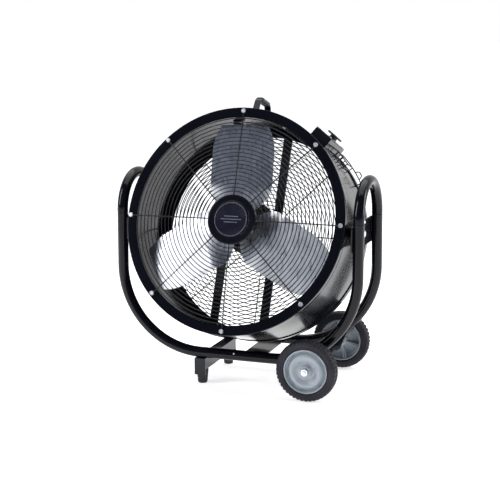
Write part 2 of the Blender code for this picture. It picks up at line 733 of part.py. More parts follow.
def drill_bolt_circle(rim, drum):
    shapes = []
    for index in range(BOLT_COUNT):
        profile = [(0, forward(DRUM_FRONT + 0.01)), (0.0035, forward(DRUM_FRONT + 0.01)),
                   (0.0035, forward(DRUM_FRONT - 0.01)), (0, forward(DRUM_FRONT - 0.01))]
        shape = turned(profile, 8)
        angle = bolt_angle(index)
        centre = Vector((BOLT_CIRCLE * math.cos(angle), 0, BOLT_CIRCLE * math.sin(angle)))
        bmesh.ops.translate(shape, vec=centre, verts=shape.verts)
        shapes.append(shape)
    cut(rim, add_piece("front_rim_holes", join(shapes), parent=drum))


def build_guard_bolts(drum):
    """Guard bolts: the collar spans the wire, so the head clears the spoke's end."""
    seat = forward(DRUM_FRONT + TOUCH_GAP)
    for index in range(BOLT_COUNT):
        angle = bolt_angle(index)
        bolt = fastener(0.003, 0.008, 0.0072, 0.0045, collar=WIRE + 2 * TOUCH_GAP)
        add_piece(
            "front_guard_bolt_%d" % (index + 1), bolt, "zinc", parent=drum,
            location=(BOLT_CIRCLE * math.cos(angle), seat, BOLT_CIRCLE * math.sin(angle)),
        )


def dome(radius):
    """How far a guard bulges out of its rim at a radius."""
    return GUARD_BULGE * max(0.0, 1 - (radius / OPENING_RADIUS) ** 2)


def guard_sheet(face, outward):
    """The guard's rings and spokes as one pierced sheet, before it is given thickness."""
    half = WIRE / 2
    first = DISC_RADIUS - 0.012
    last = OPENING_RADIUS - GUARD_EDGE_GAP
    rings = [first + (last - first) * k / (GUARD_RINGS - 1) for k in range(GUARD_RINGS)]
    bands = []
    for ring in rings:
        bands += [ring - half, ring + half]
    spoke_tip = BOLT_CIRCLE - 0.0065
    bands.append(spoke_tip)
    shape = bmesh.new()
    rows = []
    between = 2
    for radius in bands:
        row = []
        spread = math.asin(half / radius)
        for spoke in range(SPOKE_COUNT):
            start = math.pi / 2 + 2 * math.pi * spoke / SPOKE_COUNT
            following = start + 2 * math.pi / SPOKE_COUNT - spread
            angles = [start - spread, start + spread]
            for k in range(1, between + 1):
                angles.append(start + spread + (following - start - spread) * k / (between + 1))
            for angle in angles:
                along = forward(face + outward * (half + TOUCH_GAP + dome(radius)))
                row.append(shape.verts.new((radius * math.cos(angle), along, radius * math.sin(angle))))
        rows.append(row)
    per_spoke = between + 2
    for band in range(len(bands) - 1):
        is_ring = band % 2 == 0 and band < len(bands) - 1
        for cell in range(len(rows[0])):
            is_spoke = cell % per_spoke == 0
            if is_ring or is_spoke:
                after = (cell + 1) % len(rows[0])
                shape.faces.new([rows[band][cell], rows[band][after], rows[band + 1][after], rows[band + 1][cell]])
    for vertex in [v for v in shape.verts if not v.link_faces]:
        shape.verts.remove(vertex)
    return shape


def build_guards(drum):
    for name, face, outward in (("front_guard", DRUM_FRONT, 1), ("rear_guard", DRUM_REAR, -1)):
        guard = add_piece(name, guard_sheet(face, outward), "gloss_black", parent=drum)
        sheet = guard.modifiers.new("wire", "SOLIDIFY")
        sheet.thickness = WIRE
        sheet.offset = 0.0
    inner = DISC_RADIUS - 0.012
    seat = DRUM_FRONT + WIRE + 2 * TOUCH_GAP + dome(inner - WIRE)
    disc = [
        (0, forward(seat)),
        (DISC_RADIUS - 0.006, forward(seat)),
        (DISC_RADIUS, forward(seat + 0.001)),
        (DISC_RADIUS - 0.002, forward(seat + DISC_THICKNESS)),
        (0, forward(seat + DISC_THICKNESS)),
    ]
    add_piece("guard_disc", turned(disc, 32), "gloss_black", parent=drum)
    face = seat + DISC_THICKNESS + TOUCH_GAP
    badge = [
        (0, forward(face)),
        (BADGE_RADIUS, forward(face)),
        (BADGE_RADIUS - 0.001, forward(face + BADGE_THICKNESS)),
        (0, forward(face + BADGE_THICKNESS)),
    ]
    add_piece("guard_badge", turned(badge, 32), "badge", parent=drum)


def build_pivot_brackets(drum):
    """A boss on each side of the shell, with the bolt that turns in the cradle's plate."""
    flange = 0.030
    boss = 0.017
    stop = PLATE_INNER_X - TOUCH_GAP
    base = SHELL_RADIUS - 0.008
    for name, end in (("left", -1), ("right", 1)):
        profile = [
            (PIVOT_BOLT_RADIUS + TOUCH_GAP, end * base),
            (flange, end * base),
            (flange, end * (SHELL_RADIUS + 0.0025)),
            (boss, end * (SHELL_RADIUS + 0.0040)),
            (boss, end * stop),
            (PIVOT_BOLT_RADIUS + TOUCH_GAP, end * stop),
        ]
        bracket = add_piece(name + "_pivot_boss", turned(profile, 28, axis="X", closed=True), "gloss_black",
                            parent=drum)
        cut(bracket, shell_cutter(name + "_boss_cut", drum, SHELL_RADIUS + TOUCH_GAP))
        seat = PLATE_OUTER_X + TOUCH_GAP
        inner = SHELL_RADIUS + 0.0015
        bolt = [
            (0, end * inner),
            (PIVOT_BOLT_RADIUS, end * inner),
            (PIVOT_BOLT_RADIUS, end * seat),
            (PIVOT_HEAD_RADIUS, end * seat),
            (PIVOT_HEAD_RADIUS, end * (seat + PIVOT_HEAD_HEIGHT - 0.001)),
            (PIVOT_HEAD_RADIUS - 0.0015, end * (seat + PIVOT_HEAD_HEIGHT)),
            (0, end * (seat + PIVOT_HEAD_HEIGHT)),
        ]
        add_piece(name + "_pivot_bolt", turned(bolt, 18, axis="X"), "zinc", parent=drum)


# ---- motor and fan --------------------------------------------------------------------------
def build_motor_bars(drum):
    """Two upright bars with turned-over ends that meet the shell."""
    outer_edge = BAR_X + BAR_WIDTH / 2
    top = math.sqrt(SHELL_INNER ** 2 - outer_edge ** 2) - 0.002
    front = forward(BAR_FORWARD)
    rear = forward(BAR_REAR_FACE)
    tab = forward(BAR_FORWARD + BAR_TAB)
    outline = [
        (rear, -top), (tab, -top), (tab, -top + BAR_THICKNESS), (front, -top + BAR_THICKNESS),
        (front, top - BAR_THICKNESS), (tab, top - BAR_THICKNESS), (tab, top), (rear, top),
    ]
    for name, end in (("left_motor_bar", -1), ("right_motor_bar", 1)):
        x = end * BAR_X
        bar = extruded(outline, x - BAR_WIDTH / 2, x + BAR_WIDTH / 2, axis="X")
        add_piece(name, bar, "gloss_black", parent=drum, rotation=(0, BAR_TURN, 0))


def build_motor(drum):
    """The motor stands in front of the bars on its ears, with its rear cap between them."""
    ears = BAR_FORWARD + TOUCH_GAP
    rear = BAR_FORWARD - MOTOR_REAR_DEPTH
    bore = SHAFT_RADIUS + RUNNING_GAP
    socket_end = MOTOR_NOSE_FORWARD - SHAFT_SOCKET - 0.001
    profile = [
        (0, forward(rear)),
        (MOTOR_REAR_RADIUS - 0.012, forward(rear)),
        (MOTOR_REAR_RADIUS, forward(rear + 0.010)),
        (MOTOR_REAR_RADIUS, forward(ears)),
        (BAR_X + 0.004, forward(ears)),
        (BAR_X + 0.004, forward(ears + 0.005)),
        (MOTOR_RADIUS, forward(ears + 0.006)),
        (MOTOR_RADIUS, forward(MOTOR_NOSE_FORWARD - 0.016)),
        (MOTOR_RADIUS - 0.005, forward(MOTOR_NOSE_FORWARD - 0.008)),
        (MOTOR_NOSE_RADIUS, forward(MOTOR_NOSE_FORWARD - 0.006)),
        (0.018, forward(MOTOR_NOSE_FORWARD)),
        (bore, forward(MOTOR_NOSE_FORWARD)),
        (bore, forward(socket_end)),
        (0, forward(socket_end)),
    ]
    add_piece("motor_housing", turned(profile, 32), "gloss_black", parent=drum)


def build_fan(drum):
    fan = add_empty("fan_axis", parent=drum)
    bore = SHAFT_RADIUS + TOUCH_GAP
    shaft_rear = MOTOR_NOSE_FORWARD - SHAFT_SOCKET
    barrel_front = HUB_DISC_FORWARD + 0.012
    shaft_front = barrel_front + 0.006
    shaft = [(0, forward(shaft_rear)), (SHAFT_RADIUS, forward(shaft_rear)),
             (SHAFT_RADIUS, forward(shaft_front)), (0, forward(shaft_front))]
    add_piece("motor_shaft", turned(shaft, 20), "steel", parent=fan)
    barrel_rear = barrel_front - HUB_BARREL_LENGTH
    disc_rear = HUB_DISC_FORWARD - HUB_DISC_THICKNESS
    hub = [
        (bore, forward(barrel_rear)),
        (HUB_BARREL_RADIUS, forward(barrel_rear)),
        (HUB_BARREL_RADIUS, forward(disc_rear)),
        (HUB_DISC_RADIUS, forward(disc_rear)),
        (HUB_DISC_RADIUS, forward(HUB_DISC_FORWARD)),
        (HUB_BARREL_RADIUS, forward(HUB_DISC_FORWARD)),
        (HUB_BARREL_RADIUS, forward(barrel_front)),
        (bore, forward(barrel_front)),
    ]
    add_piece("fan_hub", turned(hub, 30, closed=True), "aluminium", parent=fan)
    for index in range(BLADE_COUNT):
        turn = BLADE_START - 2 * math.pi * index / BLADE_COUNT
        blade = add_piece("fan_blade_%d" % (index + 1), blade_sheet(), "aluminium", parent=fan,
                          rotation=(0, turn, 0))
        sheet = blade.modifiers.new("sheet", "SOLIDIFY")
        sheet.thickness = BLADE_SHEET
        sheet.offset = 0.0


def blade_half_width(height):
    """Half the blade's width at a height above the axis: a root tab, a wide paddle, a soft tip."""
    root = HUB_BARREL_RADIUS + 0.004
    full = 0.33 * BLADE_TIP
    shoulder = 0.72 * BLADE_TIP
    if height < full:
        share = (height - root) / (full - root)
        return 0.030 + (BLADE_HALF_WIDTH - 0.030) * math.sin(share * math.pi / 2)
    if height < shoulder:
        return BLADE_HALF_WIDTH
    share = (height - shoulder) / (BLADE_TIP - shoulder)
    return BLADE_HALF_WIDTH * (1 - 0.24 * share ** 2)


def blade_sheet():
    """One blade standing up +Z, flat where it meets the hub and pitched further out."""
    root = HUB_BARREL_RADIUS + 0.004
    base = HUB_DISC_FORWARD + TOUCH_GAP + BLADE_SHEET / 2
    rows_count = 9
    columns = 6
    shape = bmesh.new()
    rows = []
    for i in range(rows_count + 1):
        share = i / rows_count
        height = root + (BLADE_TIP - root) * share
        half = blade_half_width(height)
        bend = max(0.0, min(1.0, (height - HUB_DISC_RADIUS - 0.004) / 0.06))
        row = []
        for j in range(columns + 1):
            across = half * (2 * j / columns - 1)
            droop = 0.004 * share * (across / BLADE_HALF_WIDTH) ** 2 if share > 0.9 else 0.0
            reach = -across * math.tan(BLADE_PITCH) * bend * bend * (3 - 2 * bend)
            row.append(shape.verts.new((across, forward(base + reach), height - droop)))
        rows.append(row)
    for near, far in zip(rows, rows[1:]):
        for j in range(columns):
            shape.faces.new([near[j], near[j + 1], far[j + 1], far[j]])
    return shape


# ---- controls, handle and cord rack ---------------------------------------------------------
def build_control_box(drum):
    """The switch box sits on the shell's upper right; up is +X in its own frame."""
    seat = add_empty("box_seat", parent=drum, location=(0, forward(BOX_MIDDLE_FORWARD), 0),
                     rotation=(0, -BOX_ANGLE, 0))
    half_length = BOX_LENGTH / 2
    half_width = BOX_WIDTH / 2
    lid_seat = BOX_TOP - BOX_LID
    box = add_piece(
        "control_box",
        block((BOX_BASE - 0.006, -half_length, -half_width), (lid_seat - TOUCH_GAP, half_length, half_width)),
        "gloss_black", parent=seat,
    )
    cut(box, shell_cutter("box_cut", seat, SHELL_RADIUS + TOUCH_GAP))
    wall = 0.003
    hollow = block(
        (BOX_BASE + wall, -half_length + wall, -half_width + wall),
        (BOX_TOP, half_length - wall, half_width - wall),
    )
    cut(box, add_piece("box_hollow", hollow, parent=seat))
    lid = add_piece("control_box_lid", block((lid_seat, -half_length, -half_width), (BOX_TOP, half_length, half_width)),
                    "gloss_black", parent=seat)
    knob_y = forward(KNOB_FORWARD) - forward(BOX_MIDDLE_FORWARD)
    stem_hole = KNOB_STEM_RADIUS + RUNNING_GAP
    hole = [(0, lid_seat - 0.01), (stem_hole, lid_seat - 0.01), (stem_hole, BOX_TOP + 0.01), (0, BOX_TOP + 0.01)]
    cut(lid, add_piece("stem_hole", turned(hole, 14, axis="X"), parent=seat, location=(0, knob_y, 0)))
    axis = add_empty("knob_axis", parent=seat, location=(0, knob_y, 0))
    under = BOX_TOP + KNOB_STANDOFF
    knob = [
        (0, lid_seat - 0.004),
        (KNOB_STEM_RADIUS, lid_seat - 0.004),
        (KNOB_STEM_RADIUS, BOX_TOP + 0.0015),
        (KNOB_NECK_RADIUS, BOX_TOP + 0.0015),
        (KNOB_NECK_RADIUS, under),
        (KNOB_RADIUS, under),
        (KNOB_RADIUS, under + KNOB_THICKNESS - 0.0015),
        (KNOB_RADIUS - 0.0015, under + KNOB_THICKNESS),
        (0, under + KNOB_THICKNESS),
    ]
    add_piece("speed_knob", turned(knob, 28, axis="X"), "black_plastic", parent=axis)


def build_handle(drum):
    """A bent strap along the top of the drum with a moulded grip on its bridge."""
    foot = SHELL_RADIUS + TOUCH_GAP + 0.0003
    top = SHELL_RADIUS + HANDLE_HEIGHT
    lean = 0.018
    flange = 0.016
    front = forward(HANDLE_FRONT)
    rear = forward(HANDLE_REAR)
    outer = [
        (front - flange, foot), (front, foot), (front + lean, top - 0.006), (front + lean + 0.008, top),
        (rear - lean - 0.008, top), (rear - lean, top - 0.006), (rear, foot), (rear + flange, foot),
    ]
    thick = HANDLE_SHEET
    inner = [
        (rear + flange, foot + thick), (rear + thick * 0.7, foot + thick), (rear - lean + thick, top - 0.005),
        (rear - lean - 0.006, top + thick), (front + lean + 0.006, top + thick),
        (front + lean - thick, top - 0.005), (front - thick * 0.7, foot + thick), (front - flange, foot + thick),
    ]
    half = HANDLE_WIDTH / 2
    add_piece("handle_strap", extruded(outer + inner, -half, half, axis="X"), "gloss_black", parent=drum)
    gap = TOUCH_GAP
    start = front + lean + 0.012
    end = rear - lean - 0.012
    low = top - GRIP_WALL
    high = top + thick + GRIP_WALL
    side = GRIP_WIDTH / 2
    slit = half + gap
    outline = [
        (-side + 0.003, low), (-0.004, low), (-0.004, top - gap), (-slit, top - gap),
        (-slit, top + thick + gap), (slit, top + thick + gap), (slit, top - gap), (0.004, top - gap),
        (0.004, low), (side - 0.003, low), (side, low + 0.003), (side, high - 0.003), (side - 0.003, high),
        (-side + 0.003, high), (-side, high - 0.003), (-side, low + 0.003),
    ]
    add_piece("handle_grip", extruded(outline, start, end, axis="Y"), "rubber", parent=drum)


def rack_point(radius, angle, ahead):
    return Vector((radius * math.cos(angle), forward(ahead), radius * math.sin(angle)))


def rack_rail(radius, low, high, ahead, steps):
    return [rack_point(radius, low + (high - low) * k / steps, ahead) for k in range(steps + 1)]


def build_cord_rack(drum):
    """A welded wire cradle for a wound cord: a short ladder in front, longer rails and a hook behind."""
    half = RACK_WIRE / 2
    low_radius = SHELL_RADIUS + TOUCH_GAP + half
    foot = low_radius - half * 0.5
    head = RACK_RADIUS + half * 0.6
    inset = math.radians(0.8)
    top = RACK_ANGLE_HIGH - inset
    wires = []
    for radius in (low_radius, RACK_RADIUS):
        wires.append(rack_rail(radius, RACK_ANGLE_MIDDLE, RACK_ANGLE_HIGH, RACK_FRONT, 3))
        wires.append(rack_rail(radius, RACK_ANGLE_LOW, RACK_ANGLE_HIGH, RACK_REAR, 5))
    for k in range(RACK_RUNGS):
        angle = top - (top - RACK_ANGLE_MIDDLE - inset) * k / (RACK_RUNGS - 1)
        wires.append([rack_point(head, angle, RACK_FRONT), rack_point(foot, angle, RACK_FRONT)])
    for angle in (top, RACK_ANGLE_MIDDLE + inset, RACK_ANGLE_LOW + inset):
        wires.append([rack_point(head, angle, RACK_REAR), rack_point(foot, angle, RACK_REAR)])
    for angle in (top, RACK_ANGLE_MIDDLE + inset):
        for radius in (low_radius, RACK_RADIUS):
            wires.append([
                rack_point(radius, angle, RACK_FRONT + half),
                rack_point(radius, angle, RACK_REAR - half),
            ])
    turn = math.radians(2.0)
    hook_at = RACK_ANGLE_MIDDLE - 2 * turn
    wires.append([
        rack_point(RACK_RADIUS, hook_at + turn, RACK_REAR),
        rack_point(RACK_RADIUS + RACK_HOOK, hook_at + turn * 0.6, RACK_REAR),
        rack_point(RACK_RADIUS + RACK_HOOK, hook_at - turn * 0.6, RACK_REAR),
        rack_point(RACK_RADIUS, hook_at - turn, RACK_REAR),
    ])
    first = add_piece("cord_rack", rod(wires[0], half, 6), "gloss_black", parent=drum)
    for index, wire in enumerate(wires[1:]):
        cut(first, add_piece("rack_wire_%d" % index, rod(wire, half, 6), parent=drum), "UNION")


def main():
    clear_scene()
    build_end_frames()
    build_hoops()
    build_hoop_screws()
    build_pivot_plates()
    build_feet()
    build_centre_brace()
    build_axle_mounting()
    build_wheel("front_wheel", -1)
    build_wheel("rear_wheel", 1)
    drum = add_empty("drum_pivot", location=(0, 0, PIVOT_HEIGHT), rotation=(-DRUM_TILT, 0, 0))
    build_drum_body(drum)
    build_guard_bolts(drum)
    build_guards(drum)
    build_pivot_brackets(drum)
    build_motor_bars(drum)
    build_motor(drum)
    build_fan(drum)
    build_control_box(drum)
    build_handle(drum)
    build_cord_rack(drum)
    for piece in bpy.context.scene.objects:
        if piece.parent is None:
            piece.location.y += PIVOT_BEHIND_ORIGIN
    bpy.context.view_layer.update()


main()
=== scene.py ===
"""Looks for the axial air mover: smooth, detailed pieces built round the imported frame."""

import math

import bmesh
import bpy
from mathutils import Matrix, Vector


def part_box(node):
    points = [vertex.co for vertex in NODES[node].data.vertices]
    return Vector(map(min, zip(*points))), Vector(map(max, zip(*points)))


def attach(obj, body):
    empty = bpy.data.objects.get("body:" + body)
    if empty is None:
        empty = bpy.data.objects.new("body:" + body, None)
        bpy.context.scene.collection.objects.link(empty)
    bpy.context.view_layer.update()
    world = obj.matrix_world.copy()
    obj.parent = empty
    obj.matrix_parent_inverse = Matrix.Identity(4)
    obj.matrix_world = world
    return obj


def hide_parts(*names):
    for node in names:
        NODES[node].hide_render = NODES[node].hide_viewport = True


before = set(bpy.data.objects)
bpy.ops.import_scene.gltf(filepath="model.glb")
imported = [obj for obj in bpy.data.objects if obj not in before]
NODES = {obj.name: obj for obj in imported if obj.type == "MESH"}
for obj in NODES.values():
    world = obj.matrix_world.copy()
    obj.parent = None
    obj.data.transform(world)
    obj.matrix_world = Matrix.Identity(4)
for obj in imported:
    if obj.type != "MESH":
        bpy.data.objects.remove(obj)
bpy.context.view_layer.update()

# ---- sizes shared with the frame, in metres ----------------------------------------------
MIDDLE_Y = 0.009              # the pivot plane
HALF_WIDTH = 0.363
BASE_DEPTH = 0.1152
TOP_DEPTH = 0.1050
BASE_Z = 0.0944
CORNER = 0.250
TUBE = 0.0159
JOINT_Z = 0.500
LEAN = math.atan2(BASE_DEPTH - TOP_DEPTH, JOINT_Z - BASE_Z)
PIVOT_Z = 0.4555
TILT = math.radians(17.8)
FRONT = 0.1412
REAR = FRONT - 0.2707
RIM = 0.3310
OPENING = 0.3020
RIM_SHEET = 0.0024
SKIRT = 0.0240
GAP = 0.0003                  # between pieces that seat on each other
SHELL = RIM - RIM_SHEET - GAP
SHELL_SHEET = 0.0015
BOLT_CIRCLE = 0.3195
WIRE = 0.0015                 # wire radius
BULGE = 0.0130
DISC = 0.0725
BADGE = 0.0510
AXLE_X = 0.2368
WHEEL = 0.0888
WHEEL_HALF = 0.019
WHEEL_Y = 0.1826
SEAT = 0.0640
BOX_ANGLE = math.radians(51.9)
BOX_MIDDLE = 0.0175           # behind the pivot, along the drum
HUB_FACE = 0.092              # ahead of the pivot, along the drum
HUB_DISC = 0.058
BLADE_TIP = 0.290
BLADE_HALF = 0.089            # half the blade's full width
BLADE_HALF_ROOT = 0.030
BLADE_ROOT = 0.024
BLADE_SHEET = 0.0018
BLADE_DROOP = 0.004           # the tip's corners sit this much lower than its middle
BLADE_PITCH = math.radians(11.0)
BLADE_START = math.radians(-2.0)

# ---- the camera ----------------------------------------------------------------------------
CAMERA_AZIMUTH = math.radians(19.93)
CAMERA_ELEVATION = math.radians(10.60)
CAMERA_ROLL = math.radians(-0.31)
CAMERA_DISTANCE = 3.589
CAMERA_AIM = Vector((0.0021, MIDDLE_Y, 0.3884))
SENSOR = 36.0                 # millimetres
LENS = 86.6664                # millimetres

DRUM = Matrix.Translation((0, MIDDLE_Y, PIVOT_Z)) @ Matrix.Rotation(-TILT, 4, "X")
BOX = DRUM @ Matrix.Translation((0, BOX_MIDDLE, 0)) @ Matrix.Rotation(-BOX_ANGLE, 4, "Y")


# ---- materials ----------------------------------------------------------------------------
class Nodes:
    """A short way to wire one material's nodes."""

    def __init__(self, name):
        self.material = bpy.data.materials.new(name)
        self.material.use_nodes = True
        self.tree = self.material.node_tree
        self.shader = self.tree.nodes["Principled BSDF"]
        self.coordinates = self.tree.nodes.new("ShaderNodeTexCoord")

    def noise(self, scale, detail=3.0, stretch=None):
        node = self.tree.nodes.new("ShaderNodeTexNoise")
        node.inputs["Scale"].default_value = scale
        node.inputs["Detail"].default_value = detail
        source = self.coordinates.outputs["Object"]
        if stretch:
            mapping = self.tree.nodes.new("ShaderNodeMapping")
            mapping.inputs["Scale"].default_value = stretch
            self.tree.links.new(source, mapping.inputs["Vector"])
            source = mapping.outputs["Vector"]
        self.tree.links.new(source, node.inputs["Vector"])
        return node.outputs["Fac"]

    def between(self, factor, low, high, start=0.35, end=0.65):
        node = self.tree.nodes.new("ShaderNodeMapRange")
        node.inputs["From Min"].default_value = start
        node.inputs["From Max"].default_value = end
        node.inputs["To Min"].default_value = low
        node.inputs["To Max"].default_value = high
        self.tree.links.new(factor, node.inputs["Value"])
        return node.outputs["Result"]

    def mix(self, factor, first, second):
        node = self.tree.nodes.new("ShaderNodeMix")
        node.data_type = "RGBA"
        self.tree.links.new(factor, node.inputs["Factor"])
        for socket, value in ((node.inputs[6], first), (node.inputs[7], second)):
            if isinstance(value, tuple):
                socket.default_value = (*value, 1.0)
            else:
                self.tree.links.new(value, socket)
        return node.outputs[2]

    def edges(self, start, end):
        """Nearly 1 along outward edges, 0 elsewhere."""
        geometry = self.tree.nodes.new("ShaderNodeNewGeometry")
        return self.between(geometry.outputs["Pointiness"], 0.0, 1.0, start, end)

    def bump(self, height, strength, distance):
        node = self.tree.nodes.new("ShaderNodeBump")
        node.inputs["Strength"].default_value = strength
        node.inputs["Distance"].default_value = distance
        self.tree.links.new(height, node.inputs["Height"])
        self.tree.links.new(node.outputs["Normal"], self.shader.inputs["Normal"])

    def set(self, **values):
        for name, value in values.items():
            socket = self.shader.inputs[name.replace("_", " ")]
            if hasattr(value, "is_linked"):
                self.tree.links.new(value, socket)
            elif isinstance(value, tuple):
                socket.default_value = (*value, 1.0)
            else:
                socket.default_value = value
        return self.material


def powder_coat(name, colour, edge_highlight, low, high, coat):
    """Gloss powder coat: faint orange peel, patchy gloss and slightly paler edges, which are a painted
    highlight.
    """
    m = Nodes(name)
    patches = m.noise(7.0)
    peel = m.noise(420.0, 2.0)
    base = m.mix(m.between(patches, 0.0, 1.0), colour, tuple(c * 1.5 for c in colour))
    # painted highlight: convex edges are lightened towards the second colour
    base = m.mix(m.edges(0.52, 0.60), base, edge_highlight)
    m.bump(peel, 0.06, 0.0005)
    return m.set(Base_Color=base, Roughness=m.between(patches, low, high), Coat_Weight=coat,
                 Coat_Roughness=0.06, Specular_IOR_Level=0.27)


def metal(name, dark, light, low, high, stretch, scale, strength):
    m = Nodes(name)
    streaks = m.noise(scale, 4.0, stretch)
    clouds = m.noise(18.0)
    m.bump(streaks, strength, 0.0004)
    return m.set(Base_Color=m.mix(m.between(clouds, 0.0, 1.0), dark, light), Metallic=1.0,
                 Roughness=m.between(streaks, low, high))


def moulded(name, dark, light, low, high, grain, strength):
    """Plastic or rubber with a moulded grain."""
    m = Nodes(name)
    clouds = m.noise(22.0)
    fine = m.noise(grain, 3.0)
    base = m.mix(m.between(clouds, 0.0, 1.0), dark, light)
    m.bump(fine, strength, 0.0006)
    return m.set(Base_Color=base, Roughness=m.between(clouds, low, high))


# the second colour given to each coat is its painted edge highlight
COAT = powder_coat("black_gloss_coat", (0.0020, 0.0022, 0.0042), (0.008, 0.009, 0.013), 0.09, 0.15, 0.0)
SHEET = powder_coat("black_sheet_coat", (0.0024, 0.0027, 0.0052), (0.010, 0.011, 0.016), 0.14, 0.22, 0.1)
INSIDE = powder_coat("black_wire_coat", (0.0030, 0.0032, 0.0040), (0.010, 0.010, 0.013), 0.25, 0.38, 0.1)
ZINC = metal("bright_zinc", (0.82, 0.84, 0.86), (0.92, 0.93, 0.94), 0.30, 0.46, None, 160.0, 0.10)
STEEL = metal("turned_steel", (0.62, 0.64, 0.66), (0.76, 0.77, 0.79), 0.24, 0.40, (1, 14, 1), 60.0, 0.12)
BLADE = metal("blade_aluminium", (0.62, 0.65, 0.70), (0.80, 0.83, 0.87), 0.26, 0.40, (1.0, 1.0, 0.06), 140.0,
              0.10)
CAST = metal("hub_aluminium", (0.52, 0.54, 0.57), (0.68, 0.70, 0.72), 0.35, 0.50, None, 260.0, 0.25)
TYRE = moulded("tyre_rubber", (0.0045, 0.0036, 0.0095), (0.0090, 0.0075, 0.0165), 0.58, 0.78, 500.0, 0.30)
RUBBER = moulded("foot_rubber", (0.012, 0.012, 0.014), (0.022, 0.022, 0.025), 0.60, 0.80, 500.0, 0.30)
GRIP = moulded("grip_rubber", (0.020, 0.021, 0.026), (0.040, 0.042, 0.050), 0.45, 0.65, 650.0, 0.35)
GREY = moulded("wheel_grey", (0.330, 0.375, 0.410), (0.380, 0.425, 0.460), 0.32, 0.44, 600.0, 0.10)
PLASTIC = moulded("black_plastic", (0.012, 0.013, 0.018), (0.020, 0.022, 0.028), 0.28, 0.40, 700.0, 0.15)
NAVY = moulded("badge_navy", (0.0050, 0.0058, 0.0140), (0.0080, 0.0090, 0.0190), 0.20, 0.28, 300.0, 0.04)
SILVER = metal("badge_silver", (0.36, 0.38, 0.44), (0.46, 0.48, 0.54), 0.25, 0.35, None, 300.0, 0.08)
PRINT = moulded("dial_print", (0.62, 0.64, 0.66), (0.72, 0.74, 0.76), 0.40, 0.50, 300.0, 0.05)


# ---- building blocks -----------------------------------------------------------------------
def make(name, shape, material, body, replaces=(), place=None, bevel=0.0, angle=35, rides=True):
    bmesh.ops.remove_doubles(shape, verts=shape.verts, dist=1e-6)
    bmesh.ops.recalc_face_normals(shape, faces=shape.faces)
    mesh = bpy.data.meshes.new(name)
    shape.to_mesh(mesh)
    shape.free()
    if place is not None:
        mesh.transform(place)
    mesh.shade_smooth()
    mesh.set_sharp_from_angle(angle=math.radians(angle))
    piece = bpy.data.objects.new(name, mesh)
    bpy.context.scene.collection.objects.link(piece)
    mesh.materials.append(material)
    if bevel:
        round_edges(piece, bevel)
    if rides:
        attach(piece, body)
    if replaces:
        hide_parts(*replaces)
    return piece


def round_edges(piece, width, segments=3):
    edges = piece.modifiers.new("edges", "BEVEL")
    edges.width = width
    edges.segments = segments
    edges.limit_method = "ANGLE"
    edges.angle_limit = math.radians(40)
    edges.harden_normals = True


def on_axis(radius, angle, along, axis):
    across = radius * math.cos(angle)
    up = radius * math.sin(angle)
    if axis == "Y":
        return Vector((across, along, up))
    if axis == "X":
        return Vector((along, across, up))
    return Vector((across, up, along))


def lathe(profile, sides=96, axis="Y", closed=False, phase=0.0):
    """Revolve (radius, along) points; a closed profile makes a ring."""
    shape = bmesh.new()
    rings = []
    for radius, along in profile:
        if radius < 1e-7:
            rings.append([shape.verts.new(on_axis(0.0, 0.0, along, axis))] * sides)
        else:
            rings.append([shape.verts.new(on_axis(radius, phase + math.tau * k / sides, along, axis))
                          for k in range(sides)])
    pairs = list(zip(rings, rings[1:]))
    if closed:
        pairs.append((rings[-1], rings[0]))
    for near, far in pairs:
        for k in range(sides):
            after = (k + 1) % sides
            corners = list(dict.fromkeys([near[k], near[after], far[after], far[k]]))
            if len(corners) > 2:
                shape.faces.new(corners)
    return shape


def rounded(profile, radius, steps=4):
    """Round the corners of an open or closed run of (radius, along) points."""
    points = []
    last = len(profile) - 1
    for i, point in enumerate(profile):
        if i in (0, last):
            points.append(point)
            continue
        here = Vector(point)
        before = (Vector(profile[i - 1]) - here)
        after = (Vector(profile[i + 1]) - here)
        reach = min(radius, before.length * 0.45, after.length * 0.45)
        start = here + before.normalized() * reach
        end = here + after.normalized() * reach
        for k in range(steps + 1):
            t = k / steps
            points.append(tuple((1 - t) ** 2 * start + 2 * t * (1 - t) * here + t * t * end))
    return points


def tube(path, radius, sides=24, closed=False, start_normal=None, shape=None):
    """A round bar along points; radius may be one number or one per point."""
    shape = shape or bmesh.new()
    count = len(path)
    radii = radius if isinstance(radius, (list, tuple)) else [radius] * count
    side = start_normal
    rings = []
    for i, point in enumerate(path):
        before = path[(i - 1) % count] if closed else path[max(i - 1, 0)]
        after = path[(i + 1) % count] if closed else path[min(i + 1, count - 1)]
        direction = (after - before).normalized()
        if side is None:
            side = direction.orthogonal()
        side = (side - direction * side.dot(direction)).normalized()
        other = direction.cross(side)
        rings.append([
            shape.verts.new(point + radii[i] * (math.cos(math.tau * k / sides) * side
                                                + math.sin(math.tau * k / sides) * other))
            for k in range(sides)
        ])
    pairs = list(zip(rings, rings[1:]))
    if closed:
        pairs.append((rings[-1], rings[0]))
    for near, far in pairs:
        for k in range(sides):
            after = (k + 1) % sides
            shape.faces.new([near[k], near[after], far[after], far[k]])
    if not closed:
        shape.faces.new(rings[0])
        shape.faces.new(rings[-1])
    return shape


def prism(outline, start, end, axis="X"):
    """A flat outline pushed along an axis: (Y, Z) along X, (X, Z) along Y, (X, Y) along Z."""
    shape = bmesh.new()

    def place(a, b, along):
        return Vector({"X": (along, a, b), "Y": (a, along, b), "Z": (a, b, along)}[axis])

    near = [shape.verts.new(place(a, b, start)) for a, b in outline]
    far = [shape.verts.new(place(a, b, end)) for a, b in outline]
    shape.faces.new(near)
    shape.faces.new(far)
    for i in range(len(outline)):
        j = (i + 1) % len(outline)
        shape.faces.new([near[i], near[j], far[j], far[i]])
    return shape


def box(low, high):
    (left, near, under), (right, far, over) = low, high
    return prism([(near, under), (far, under), (far, over), (near, over)], left, right)


